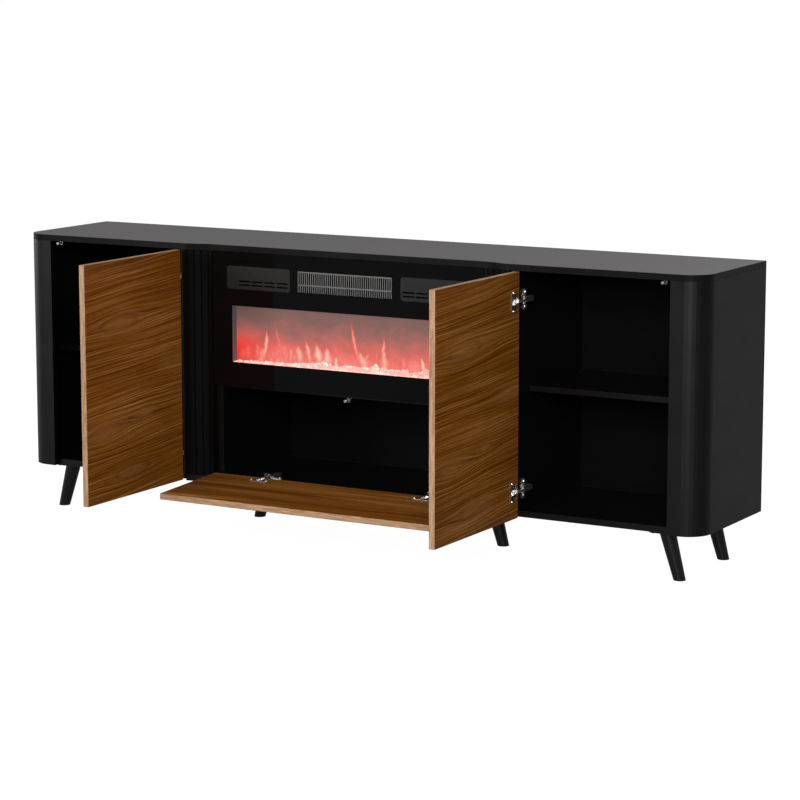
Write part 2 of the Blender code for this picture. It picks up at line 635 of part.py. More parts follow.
def add_hung_panel(name, words, out_of_wall, corner, along, spots, size, drop, parent, meshes):
    # One door or flap with its hinges. Corner is on the wall, at the shut door's back.
    # The links turn on the arms, and the panel turns on the links.
    arm_mesh, link_mesh, cup_mesh = meshes
    axes = hinge_axes(out_of_wall)
    turn = axes.to_4x4()
    share = drop / 90
    link_angle = link_open_angle - link_swing * share
    open_angle = 90 + drop

    def world(plane_point):
        return corner + axes @ Vector((plane_point.x, plane_point.y, 0))

    cup_pin = arm_pin + turned(Vector((link_length, 0)), link_angle)
    link_axis = add_empty(f"{name}_link_axis", world(arm_pin), parent)
    panel_axis = add_empty(f"{name}_axis", world(cup_pin) - world(arm_pin), link_axis)
    link_turn = (turn @ Matrix.Rotation(math.radians(link_angle), 4, "Z")).to_euler()
    panel_turn = turn @ Matrix.Rotation(math.radians(open_angle), 4, "Z")

    for word, spot in zip(words, spots):
        offset = along * spot
        arm = add_object(f"{name}_{word}_hinge_arm", arm_mesh, nickel, corner + offset, parent, True)
        arm.rotation_euler = turn.to_euler()
        link = add_object(f"{name}_{word}_hinge_link", link_mesh, nickel, offset, link_axis, True)
        link.rotation_euler = link_turn
        cup = add_object(f"{name}_{word}_hinge_cup", cup_mesh, nickel, offset, panel_axis, True)
        cup.rotation_euler = panel_turn.to_euler()

    # The panel itself, in hinge coordinates about the cup's pin.
    length, low, high = size
    handed = axes.col[2].dot(along)
    z_low, z_high = sorted((low * handed, high * handed))
    shape = box((door_edge_v - cup_pin_shut.x, -cup_pin_shut.y, z_low),
                (door_edge_v - cup_pin_shut.x + length, DOOR_THICKNESS - cup_pin_shut.y, z_high),
                0.0006)
    panel = add_object(name, shape, walnut, (0, 0, 0), panel_axis)
    panel.rotation_euler = panel_turn.to_euler()
    for word, spot in zip(words, spots):
        bore = bmesh.new()
        radius = CUP_RADIUS + CUP_CLEARANCE
        depth = CUP_DEPTH + CUP_CLEARANCE
        bmesh.ops.create_cone(bore, segments=32, radius1=radius, radius2=radius, depth=2 * depth,
                              cap_ends=True, matrix=Matrix.Rotation(math.pi / 2, 4, "X"))
        centre = (door_edge_v + CUP_INSET - cup_pin_shut.x, -cup_pin_shut.y, spot * handed)
        bmesh.ops.translate(bore, vec=centre, verts=bore.verts)
        cut(panel, f"{name}_{word}_bore_cutter", bore)


def add_doors(parent):
    meshes = (hinge_arm_mesh(), hinge_link_mesh(), hinge_cup_mesh())
    upper = top_z - HINGE_FROM_TOP
    lower = base_z + HINGE_FROM_BOTTOM
    for word, side in (("left", -1), ("right", 1)):
        corner = Vector((bay_face_x * side, DOOR_THICKNESS, 0))
        add_hung_panel(f"{word}_door", ("upper", "lower"), Vector((side, 0, 0)), corner,
                       Vector((0, 0, 1)), (upper, lower), (door_width, door_low_z, door_high_z),
                       0.0, parent, meshes)
    corner = Vector((0, CENTRE_RECESS + DOOR_THICKNESS, floor_top_z))
    reach = front_half - SEAT_GAP
    hinge_x = front_half - FLAP_HINGE_INSET
    add_hung_panel("flap", ("left", "right"), Vector((0, 0, 1)), corner, Vector((1, 0, 0)),
                   (-hinge_x, hinge_x), (flap_height, -reach, reach),
                   FLAP_EXTRA_DROP, parent, meshes)


# Push latches

def latch_body_mesh():
    # A tube under a flat base, from its mouth at Y = 0 back along Y.
    tube = along_y(prism(circle((0, 0), LATCH_RADIUS, 20), 0, LATCH_LENGTH))
    base_low = LATCH_RADIUS - 0.0008
    base = box((-LATCH_BASE_HALF, 0.004, base_low),
               (LATCH_BASE_HALF, LATCH_LENGTH + 0.004, base_low + LATCH_BASE_THICKNESS))
    bore = along_y(prism(circle((0, 0), PLUNGER_RADIUS + PLUNGER_CLEARANCE, 16), -0.01,
                         LATCH_LENGTH - 0.002))
    return combined("latch_body", tube, [("UNION", base), ("DIFFERENCE", bore)])


def plunger_shape():
    # A rod with a wider magnetic tip, turned about Y. The origin is the tip's face.
    steps = 16
    rod = LATCH_LENGTH - 0.003 - LATCH_TRAVEL
    stations = ((PLUNGER_TIP_RADIUS * 0.8, 0.0), (PLUNGER_TIP_RADIUS, 0.0006),
                (PLUNGER_TIP_RADIUS, PLUNGER_TIP_LENGTH), (PLUNGER_RADIUS, PLUNGER_TIP_LENGTH),
                (PLUNGER_RADIUS, PLUNGER_TIP_LENGTH + SEAT_GAP + LATCH_TRAVEL + rod))
    return loft([[(x, y, z) for x, z in circle((0, 0), radius, steps)] for radius, y in stations])


def add_latches(parent):
    mesh = latch_body_mesh()
    drop = LATCH_RADIUS - 0.0008 + LATCH_BASE_THICKNESS + SEAT_GAP
    latch_x = post_edge_x - LATCH_FROM_POST
    places = (("left_latch", -latch_x, DOOR_THICKNESS, ceiling_z),
              ("right_latch", latch_x, DOOR_THICKNESS, ceiling_z),
              ("flap_latch", 0.0, CENTRE_RECESS + DOOR_THICKNESS, shelf_low_z))
    for name, x, door_back_y, ceiling in places:
        tip_y = door_back_y + SEAT_GAP - LATCH_TRAVEL
        mouth_y = door_back_y + SEAT_GAP + PLUNGER_TIP_LENGTH + SEAT_GAP
        z = ceiling - drop
        if name == "flap_latch":
            mouth_y = max(mouth_y, centre_front_y)
        add_object(f"{name}_body", mesh, nickel, (x, mouth_y, z), parent, True)
        add_object(f"{name}_plunger", plunger_shape(), magnet, (x, tip_y, z), parent, True)


# Fireplace

def place_x(shape, x):
    bmesh.ops.translate(shape, vec=(x, 0, 0), verts=shape.verts)
    return shape


def front_opening(centre_x, centre_z, half, half_height, margin, corner, low_y, high_y):
    # A rounded cutter through the front.
    half += margin
    half_height += margin
    outline = rounded_rectangle((centre_x - half, centre_z - half_height),
                                (centre_x + half, centre_z + half_height), corner)
    return along_y(prism(outline, low_y, high_y))


def vent_openings(margin, low_y, high_y):
    shapes = []
    for x in (-vent_centre_x, vent_centre_x):
        shapes.append(front_opening(x, vent_mid_z, vent_half, VENT_HEIGHT / 2, margin,
                                    VENT_CORNER, low_y, high_y))
    shapes.append(front_opening(0.0, vent_mid_z, GRILLE_WIDTH / 2, GRILLE_HEIGHT / 2, margin,
                                0.002, low_y, high_y))
    return shapes


def add_casing(parent):
    # Sheet-metal box with a wide front flange, a divider and two brackets inside.
    wall = CASING_WALL
    low = (-casing_half, flange_front_y, casing_low_z)
    high = (casing_half, casing_back_y, casing_high_z)
    casing = add_object("fireplace_casing", box(low, high), black_metal, (0, 0, 0), parent)
    flange = add_object("casing_flange_guide",
                        box((-upright_outer_x, flange_front_y, glass_low_z),
                            (upright_outer_x, flange_back_y, casing_high_z)),
                        guide_material, parent=casing)
    flange.display_type = "WIRE"
    flange.hide_render = True
    modify(casing, "UNION", flange)
    inner = casing_half - wall
    cut(casing, "flame_chamber_cutter",
        box((-inner, flange_back_y, casing_low_z + wall),
            (inner, chamber_back_y, divider_z - wall)))
    # The upper chamber is cut in three, so that the two brackets stay standing.
    gaps = ((-inner, -bracket_x - BRACKET_THICKNESS), (-bracket_x, bracket_x),
            (bracket_x + BRACKET_THICKNESS, inner))
    for i, (x0, x1) in enumerate(gaps):
        cut(casing, f"heater_chamber_cutter_{i}",
            box((x0, flange_back_y, divider_z), (x1, chamber_back_y, casing_high_z - wall)))
    cut(casing, "window_cutter",
        front_opening(0.0, (window_low_z + window_high_z) / 2, window_half,
                      (window_high_z - window_low_z) / 2, 0.0, 0.002,
                      flange_front_y - 0.01, flange_back_y + 0.001))
    for i, shape in enumerate(vent_openings(-0.006, flange_front_y - 0.01, flange_back_y + 0.001)):
        cut(casing, f"casing_vent_cutter_{i}", shape)
    bore = along_x(prism(circle((flange_front_y + BLOWER_SETBACK, vent_mid_z),
                                BLOWER_SHAFT + SEAT_GAP, 16), -bracket_x - 0.01, bracket_x + 0.01))
    cut(casing, "blower_bore_cutter", bore)


def add_glass(parent):
    low = (-front_half, glass_front_y, glass_low_z)
    high = (front_half, glass_front_y + GLASS_THICKNESS, glass_high_z)
    glass = add_object("fireplace_glass", box(low, high), black_glass, (0, 0, 0), parent)
    cuts = vent_openings(CUT_OUT_MARGIN, glass_front_y - 0.01, flange_front_y + 0.001)
    for i, shape in enumerate(cuts):
        cut(glass, f"glass_cutter_{i}", shape)


def add_vent_plate(name, centre_x, parent):
    # A rounded plate with two rows of slots in its lower half.
    high_z = ceiling_z - VENT_DROP
    outline = rounded_rectangle((-vent_half, -VENT_HEIGHT), (vent_half, 0), VENT_CORNER)
    plate = along_y(prism(outline, -VENT_THICKNESS, 0))
    at = (centre_x, flange_front_y - SEAT_GAP, high_z)
    piece = add_object(name, plate, grey_plastic, at, parent, True)
    towards_middle = -math.copysign(1, centre_x)
    first_x = vent_half - SLOT_EDGE - SLOT_WIDTH / 2
    columns = int((2 * vent_half - SLOT_EDGE - SLOT_FREE_END) / SLOT_PITCH)
    for row in range(2):
        for column in range(columns):
            x = towards_middle * (first_x - SLOT_PITCH * column)
            z = -VENT_HEIGHT + SLOT_RISE + SLOT_ROW_PITCH * row
            cut(piece, f"{name}_slot_{row}_{column}",
                box((x - SLOT_WIDTH / 2, -0.01, z - SLOT_HEIGHT / 2),
                    (x + SLOT_WIDTH / 2, 0.01, z + SLOT_HEIGHT / 2)))


def add_grille(parent):
    # One lattice: upright fins joined by two level bars, with free ends below.
    pitch = (GRILLE_WIDTH - GRILLE_FIN) / (GRILLE_FINS - 1)
    xs = []
    for i in range(GRILLE_FINS):
        x = -GRILLE_WIDTH / 2 + pitch * i
        xs += [x, x + GRILLE_FIN]
    high = 0.0
    low = -GRILLE_HEIGHT
    middle = low + GRILLE_MIDDLE_BAR
    zs = [low, middle - GRILLE_BAR, middle, high - GRILLE_BAR, high]
    shape = bmesh.new()
    grid = [[shape.verts.new((x, 0, z)) for x in xs] for z in zs]
    for row in range(len(zs) - 1):
        for column in range(len(xs) - 1):
            is_gap = column % 2 == 1 and row in (0, 2)
            if not is_gap:
                shape.faces.new((grid[row][column], grid[row][column + 1],
                                 grid[row + 1][column + 1], grid[row + 1][column]))
    sheet = list(shape.faces)
    moved = bmesh.ops.extrude_face_region(shape, geom=sheet)
    deep = [item for item in moved["geom"] if isinstance(item, bmesh.types.BMVert)]
    bmesh.ops.translate(shape, vec=(0, GRILLE_DEPTH, 0), verts=deep)
    bmesh.ops.dissolve_limit(shape, angle_limit=math.radians(1), verts=shape.verts, edges=shape.edges)
    at = (0, flange_front_y - SEAT_GAP - GRILLE_DEPTH, vent_mid_z + GRILLE_HEIGHT / 2)
    add_object("heater_grille", shape, silver, at, parent)


def add_heating_element(parent):
    # A finned block between the brackets, behind the grille.
    half = bracket_x - SEAT_GAP
    pitch = 2 * half / HEATER_FINS
    outline = [(-half, 0)]
    for i in range(HEATER_FINS):
        x = -half + pitch * i
        outline += [(x, HEATER_DEPTH), (x + pitch * 0.6, HEATER_DEPTH)]
        if i < HEATER_FINS - 1:
            outline += [(x + pitch * 0.6, HEATER_DEPTH / 2), (x + pitch, HEATER_DEPTH / 2)]
    outline += [(half, HEATER_DEPTH / 2), (half, 0)]
    shape = prism(outline, 0, HEATER_HEIGHT)
    at = (0, flange_back_y + HEATER_SETBACK, vent_mid_z - HEATER_HEIGHT / 2)
    add_object("heating_element", shape, ceramic, at, parent)


def vaned_rotor(radius, root, vanes, half_length, shaft, shaft_half):
    # A star of vanes along X, with a round shaft out of each end.
    star = []
    for i in range(vanes):
        angle = 2 * math.pi * i / vanes
        for turn, r in ((0.0, radius), (0.12, radius), (0.45, root), (0.75, root)):
            star.append((r * math.cos(angle + turn * 2 * math.pi / vanes),
                         r * math.sin(angle + turn * 2 * math.pi / vanes)))
    ring = []
    for y, z in star:
        length = math.hypot(y, z)
        ring.append((y * shaft / length, z * shaft / length))
    loops = []
    for points, x in ((ring, -shaft_half), (ring, -half_length), (star, -half_length),
                      (star, half_length), (ring, half_length), (ring, shaft_half)):
        loops.append([(x, y, z) for y, z in points])
    return loft(loops)


def add_inner_works(parent):
    # Screen, embers and spindle in the flame chamber, blower above, gland behind.
    half = window_half
    screen_y = flange_back_y + SCREEN_SETBACK
    t = SCREEN_THICKNESS
    front_y = flange_back_y + SEAT_GAP
    margin = 0.004
    outline = [(-half - t, front_y), (-half, front_y), (-half, screen_y), (half, screen_y),
               (half, front_y), (half + t, front_y), (half + t, screen_y + t),
               (-half - t, screen_y + t)]
    low = casing_low_z + CASING_WALL + SEAT_GAP
    high = window_high_z + margin
    at = (0, 0, low)
    add_object("flame_screen", prism(outline, 0, high - low), glow, at, parent)

    bed_half = half - SEAT_GAP
    depth = screen_y - front_y - SEAT_GAP
    shape = bmesh.new()
    columns = EMBER_COUNT
    rows = (0.0, 0.28, 0.64, 1.0)
    tops = []
    for r, share in enumerate(rows):
        line = []
        for c in range(columns + 1):
            x = -bed_half + 2 * bed_half * c / columns
            lump = 0.5 + 0.5 * math.sin(c * 2.399 + r * 1.7) * math.cos(c * 0.83 + r * 2.1)
            edge = 0.45 if r in (0, len(rows) - 1) else 1.0
            z = (EMBER_HOLLOW + (EMBER_HEIGHT - EMBER_HOLLOW) * lump) * edge
            line.append(shape.verts.new((x, depth * share, z)))
        tops.append(line)
    for r in range(len(rows) - 1):
        for c in range(columns):
            shape.faces.new((tops[r][c], tops[r][c + 1], tops[r + 1][c + 1], tops[r + 1][c]))
    border = [edge for edge in shape.edges if edge.is_boundary]
    skirt = bmesh.ops.extrude_edge_only(shape, edges=border)
    bottom = [item for item in skirt["geom"] if isinstance(item, bmesh.types.BMVert)]
    floor_drop = window_low_z - low - SEAT_GAP
    for vert in bottom:
        vert.co.z = -floor_drop
    bmesh.ops.contextual_create(shape, geom=[e for e in shape.edges if e.is_boundary])
    bmesh.ops.triangulate(shape, faces=[f for f in shape.faces if len(f.verts) > 4])
    add_object("ember_bed", shape, crystal, (0, front_y, window_low_z), parent)

    spindle_y = screen_y + t + SPINDLE_SETBACK
    inner = casing_half - CASING_WALL - SEAT_GAP
    shape = vaned_rotor(SPINDLE_VANE, SPINDLE_SHAFT, 4, inner - 0.02, SPINDLE_SHAFT * 0.9, inner)
    add_object("flame_spindle", shape, silver, (0, spindle_y, window_low_z + SPINDLE_HEIGHT), parent)

    reach = bracket_x + BRACKET_THICKNESS + 0.003
    shape = vaned_rotor(BLOWER_RADIUS, BLOWER_RADIUS * 0.7, BLOWER_BLADES, blower_half,
                        BLOWER_SHAFT, reach)
    add_object("blower_wheel", shape, grey_plastic, (0, flange_front_y + BLOWER_SETBACK, vent_mid_z),
               parent)

    stations = ((GLAND_RADIUS * 1.3, 0.0), (GLAND_RADIUS * 1.3, 0.003), (GLAND_RADIUS, 0.003),
                (GLAND_RADIUS * 0.75, GLAND_LENGTH), (GLAND_BORE, GLAND_LENGTH), (GLAND_BORE, 0.002))
    loops = [[(x, y, z) for x, z in circle((0, 0), radius, 20)] for radius, y in stations]
    at = (casing_half - GLAND_INSET, casing_back_y + SEAT_GAP, casing_low_z + GLAND_HEIGHT)
    add_object("cable_gland", loft(loops), grey_plastic, at, parent, True)


def add_fireplace(parent):
    add_casing(parent)
    add_glass(parent)
    add_vent_plate("left_vent_plate", -vent_centre_x, parent)
    add_vent_plate("right_vent_plate", vent_centre_x, parent)
    add_grille(parent)
    add_heating_element(parent)
    add_inner_works(parent)


for item in list(bpy.data.objects):
    bpy.data.objects.remove(item)

guide_material = make_material("guide", (0.8, 0.3, 0.1), 0.5)
black_top = make_material("black_top", (0.035, 0.035, 0.037), 0.55)
black_board = make_material("black_board", (0.012, 0.012, 0.013), 0.6)
black_back = make_material("black_back", (0.010, 0.010, 0.010), 0.8)
black_fluted = make_material("black_fluted", (0.010, 0.010, 0.011), 0.45)
black_leg = make_material("black_leg", (0.012, 0.012, 0.012), 0.45)
walnut = make_material("walnut", (0.16, 0.065, 0.022), 0.45)
nickel = make_material("nickel", (0.62, 0.61, 0.59), 0.28, 1.0)
magnet = make_material("magnet", (0.75, 0.75, 0.74), 0.35, 0.6)
black_metal = make_material("black_metal", (0.010, 0.010, 0.010), 0.5, 0.3)
black_glass = make_material("black_glass", (0.008, 0.008, 0.009), 0.05)
grey_plastic = make_material("grey_plastic", (0.05, 0.05, 0.052), 0.5)
silver = make_material("silver", (0.60, 0.60, 0.60), 0.3, 1.0)
ceramic = make_material("ceramic", (0.25, 0.24, 0.22), 0.7)
glow = make_material("glow", (0.75, 0.10, 0.06), 0.5)
crystal = make_material("crystal", (0.95, 0.80, 0.72), 0.15)

# The open doors reach further forward than the cabinet is deep, so the frame is
# moved back to put the world's origin under the middle of everything.
open_edge_y = DOOR_THICKNESS - pole.y + POLE_INSET
front_reach = door_width - open_edge_y
frame_y = (front_reach - CABINET_DEPTH) / 2
cabinet = add_empty("cabinet_frame", (0, frame_y, 0))
add_carcass(cabinet)
add_legs(cabinet)
add_doors(cabinet)
add_latches(cabinet)
add_fireplace(cabinet)
bpy.context.view_layer.update()
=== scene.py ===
import math
import random

import bpy
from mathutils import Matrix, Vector


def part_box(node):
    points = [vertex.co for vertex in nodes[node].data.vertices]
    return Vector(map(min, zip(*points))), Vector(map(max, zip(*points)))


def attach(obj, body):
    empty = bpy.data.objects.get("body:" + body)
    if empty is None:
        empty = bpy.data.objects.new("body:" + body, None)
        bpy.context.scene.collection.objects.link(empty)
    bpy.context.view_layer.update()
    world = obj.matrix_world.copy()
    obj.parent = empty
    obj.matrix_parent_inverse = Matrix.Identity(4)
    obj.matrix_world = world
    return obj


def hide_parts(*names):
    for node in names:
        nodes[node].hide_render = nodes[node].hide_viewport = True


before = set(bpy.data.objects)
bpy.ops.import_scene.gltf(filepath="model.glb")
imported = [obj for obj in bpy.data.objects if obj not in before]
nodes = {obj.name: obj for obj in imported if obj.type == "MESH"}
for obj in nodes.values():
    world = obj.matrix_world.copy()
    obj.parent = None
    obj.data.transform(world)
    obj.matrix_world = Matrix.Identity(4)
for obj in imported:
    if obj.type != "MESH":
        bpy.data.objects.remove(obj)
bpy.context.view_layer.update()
print("stage: frame loaded,", len(nodes), "nodes")


# Helpers for node materials

def newMaterial(name, colour, roughness, metallic=0.0, **sockets):
    # sockets are the shader's inputs, with spaces written as underscores
    material = bpy.data.materials.new(name)
    material.use_nodes = True
    tree = material.node_tree
    shader = tree.nodes["Principled BSDF"]
    shader.inputs["Base Color"].default_value = (*colour, 1)
    shader.inputs["Roughness"].default_value = roughness
    shader.inputs["Metallic"].default_value = metallic
    for socket, value in sockets.items():
        shader.inputs[socket.replace("_", " ")].default_value = value
    material.diffuse_color = (*colour, 1)
    return material, tree, shader


def feed(tree, socket, value):
    # links another node's output to the socket, or sets a plain value
    if isinstance(value, bpy.types.NodeSocket):
        tree.links.new(value, socket)
    else:
        socket.default_value = value


def addNode(tree, kind, values=None, **inputs):
    # inputs are socket names with spaces written as underscores, or i0, i1 for the first, second socket
    node = tree.nodes.new(kind)
    for key, value in (values or {}).items():
        setattr(node, key, value)
    for key, value in inputs.items():
        byNumber = key[0] == "i" and key[1:].isdigit()
        feed(tree, node.inputs[int(key[1:])] if byNumber else node.inputs[key.replace("_", " ")], value)
    return node


def mathNode(tree, operation, first, second=0.0, third=0.0, clamp=False):
    values = {"operation": operation, "use_clamp": clamp}
    return addNode(tree, "ShaderNodeMath", values, i0=first, i1=second, i2=third).outputs[0]


def objectPoint(tree, scale=(1, 1, 1), location=(0, 0, 0)):
    coords = addNode(tree, "ShaderNodeTexCoord")
    mapping = addNode(tree, "ShaderNodeMapping", Vector=coords.outputs["Object"],
                      Scale=scale, Location=location)
    return mapping.outputs[0]


def objectParts(tree):
    coords = addNode(tree, "ShaderNodeTexCoord")
    return addNode(tree, "ShaderNodeSeparateXYZ", Vector=coords.outputs["Object"]).outputs


def normalParts(tree):
    coords = addNode(tree, "ShaderNodeTexCoord")
    return addNode(tree, "ShaderNodeSeparateXYZ", Vector=coords.outputs["Normal"]).outputs


def combined(tree, x, y, z):
    return addNode(tree, "ShaderNodeCombineXYZ", X=x, Y=y, Z=z).outputs[0]


def noise(tree, point, scale, detail=2.0, roughness=0.5):
    node = addNode(tree, "ShaderNodeTexNoise", Vector=point, Scale=scale, Detail=detail, Roughness=roughness)
    return node.outputs["Fac"]


def ramp(tree, factor, stops):
    node = addNode(tree, "ShaderNodeValToRGB", Fac=factor)
    elements = node.color_ramp.elements
    while len(elements) < len(stops):
        elements.new(0.5)
    for element, (place, colour) in zip(elements, stops):
        element.position = place
        element.color = (*colour, 1)
    return node.outputs[0]


def mapRange(tree, value, fromLow, fromHigh, toLow, toHigh, smooth=False):
    kind = "SMOOTHSTEP" if smooth else "LINEAR"
    node = addNode(tree, "ShaderNodeMapRange", {"interpolation_type": kind}, Value=value,
                   From_Min=fromLow, From_Max=fromHigh, To_Min=toLow, To_Max=toHigh)
    return node.outputs[0]


def mixColour(tree, factor, first, second):
    # sockets 6 and 7 of the mix node take its two colours, and output 2 gives the mixed one
    node = addNode(tree, "ShaderNodeMix", {"data_type": "RGBA"}, i0=factor)
    for number, colour in ((6, first), (7, second)):
        feed(tree, node.inputs[number], (*colour, 1) if isinstance(colour, tuple) else colour)
    return node.outputs[2]


def scaled(colour, factor):
    return tuple(part * factor for part in colour)


def bump(tree, shader, height, strength, distance):
    node = addNode(tree, "ShaderNodeBump", Height=height, Strength=strength, Distance=distance)
    tree.links.new(node.outputs[0], shader.inputs["Normal"])


# Finishes

lacquerValues = {
    # name: colour, roughness, specular level, grain height in metres
    "topLacquer": ((0.0038, 0.0034, 0.0034), 0.22, 0.17, 0.00003),
    "carcassLacquer": ((0.0017, 0.0014, 0.0015), 0.38, 0.24, 0.00004),
    "flutedLacquer": ((0.0016, 0.0015, 0.0015), 0.26, 0.10, 0.00002),
    "backPaint": ((0.0011, 0.0009, 0.0010), 0.50, 0.08, 0.00006),
    "legLacquer": ((0.0026, 0.0023, 0.0024), 0.24, 0.42, 0.00003),
    "casingEnamel": ((0.004, 0.004, 0.004), 0.45, 0.20, 0.00004),
}

lacquerTexture = {
    # noise scales
    "peelScale": 900,
    "sheenScale": 5.0,
    "sheenStretch": (1, 1, 2.2),
    "dustScale": 260,
    # a dusty spot is the colour times the gain, plus the lift
    "dustGain": 1.3,
    "dustLift": 0.0010,
    "otherFaceDustGain": 1.12,
    # how far the sheen takes the roughness down and up
    "smoother": 0.035,
    "rougher": 0.045,
    "peelStrength": 0.5,
}

# painted light: the top board's upward face is painted far paler than the rest of its lacquer, standing for
# light falling on the top
paintedLitTopValues = {
    "axis": 2,
    "colour": (0.128, 0.123, 0.122),
    "roughness": 0.64,
}

rearFaceValues = {
    "axis": 1,
    "colour": (0.0125, 0.0120, 0.0120),
    "roughness": 0.66,
}


def lacquer(name, paintedLitOrBareFace=None):
    # sprayed lacquer: fine orange peel, a faint uneven sheen and a little dust
    v = lacquerTexture
    colour, roughness, specular, height = lacquerValues[name]
    material, tree, shader = newMaterial(name, colour, roughness, Specular_IOR_Level=specular)
    point = objectPoint(tree)
    peel = noise(tree, point, v["peelScale"], 3, 0.6)
    sheen = noise(tree, objectPoint(tree, v["sheenStretch"]), v["sheenScale"], 4, 0.55)
    dust = noise(tree, point, v["dustScale"], 5, 0.7)

    def uneven(middle):
        return mapRange(tree, sheen, 0.3, 0.7, middle - v["smoother"], middle + v["rougher"])

    dusty = mapRange(tree, dust, 0.35, 0.75, 0.0, 1.0)
    light = tuple(part * v["dustGain"] + v["dustLift"] for part in colour)
    finish = mixColour(tree, dusty, colour, light)
    gloss = uneven(roughness)
    if paintedLitOrBareFace:
        # the face that looks along this axis takes its own paler colour and is duller than the rest: painted
        # light on the top board's upward face, the back panels' own paler rear side on their rear face
        litOrBareMask = mapRange(tree, normalParts(tree)[paintedLitOrBareFace["axis"]], 0.75, 0.97, 0.0, 1.0, True)
        litOrBareDusty = scaled(paintedLitOrBareFace["colour"], v["otherFaceDustGain"])
        finish = mixColour(tree, litOrBareMask, finish, mixColour(tree, dusty, paintedLitOrBareFace["colour"], litOrBareDusty))
        others = mathNode(tree, "MULTIPLY", gloss, mathNode(tree, "SUBTRACT", 1.0, litOrBareMask))
        duller = mathNode(tree, "MULTIPLY", uneven(paintedLitOrBareFace["roughness"]), litOrBareMask)
        gloss = mathNode(tree, "ADD", others, duller)
    tree.links.new(finish, shader.inputs["Base Color"])
    tree.links.new(gloss, shader.inputs["Roughness"])
    bump(tree, shader, peel, v["peelStrength"], height)
    return material


walnutValues = {
    # the wood from pale to dark, its pores, its calm places, the edge banding, painted pale as painted light
    # on the edges, and factors for its dull spots
    "pale": (0.330, 0.158, 0.050),
    "light": (0.232, 0.088, 0.0150),
    "middle": (0.166, 0.053, 0.0046),
    "dark": (0.082, 0.0215, 0.0012),
    "pore": (0.052, 0.014, 0.0012),
    "calm": (0.275, 0.118, 0.038),
    "paintedLitBanding": (0.46, 0.298, 0.190),
    "bandingDull": (0.62, 0.53, 0.44),
    "roughness": 0.46,
    "specular": 0.07,
    "bumpStrength": 0.30,
    "bumpHeight": 0.0001,
    # growth lines in a metre, strength of the broad pale and dark areas, and their scale across the grain
    "doorLines": 124.0,
    "flapLines": 84.0,
    "doorClouds": 0.42,
    "flapClouds": 0.95,
    "doorCloudScale": 9.0,
    "flapCloudScale": 30.0,
    # how far the growth lines wander: wave and ripple in metres, ragged in half widths of a heart,
    # spread in lines
    "wave": 0.042,
    "ripple": 0.0065,
    "ragged": 0.30,
    "spread": 8.0,
    # the fine lines that lie between: how many to a growth line, and where they start
    "fineLines": 2.63,
    "fineStart": 0.3,
    # what each thing adds to the tone, where 0 is dark wood and 1 pale wood
    "baseTone": 0.47,
    "lineTone": 1.05,
    "fineTone": 0.26,
    "streakTone": 2.05,
    "loopTone": -0.22,
    "fibreTone": 0.75,
    "cloudTone": 0.40,
    "blush": 0.42,
    "poreDepth": 0.38,
    # place along the grain and across it, half length, half width, how far the lines part, loop's strength
    "doorHearts": (
        (-0.255, 0.572, 0.125, 0.034, 0.90, 1.00),
        (-0.150, 0.326, 0.052, 0.017, 0.80, 0.80),
        (-0.320, 0.300, 0.110, 0.032, 0.88, 0.30),
        (-0.205, 0.184, 0.120, 0.026, 0.88, 0.90),
        (-0.010, 0.440, 0.110, 0.024, 0.70, 0.00),
    ),
    "flapHearts": (
        (-0.180, -0.105, 0.300, 0.017, 0.85, 0.60),
        (0.230, -0.070, 0.260, 0.015, 0.85, 0.50),
    ),
    # distance from a heart's middle at which its loop is strongest, and the loop's width
    "loopPlace": 0.36,
    "loopWidth": 0.20,
    # one growth line from its dark side to its pale side, and the grey that leaves the tone as it is
    "lineShape": ((0.0, 0.0), (0.12, 0.34), (0.45, 0.52), (0.78, 0.66), (0.90, 1.0), (1.0, 0.0)),
    "lineMiddle": 0.53,
}


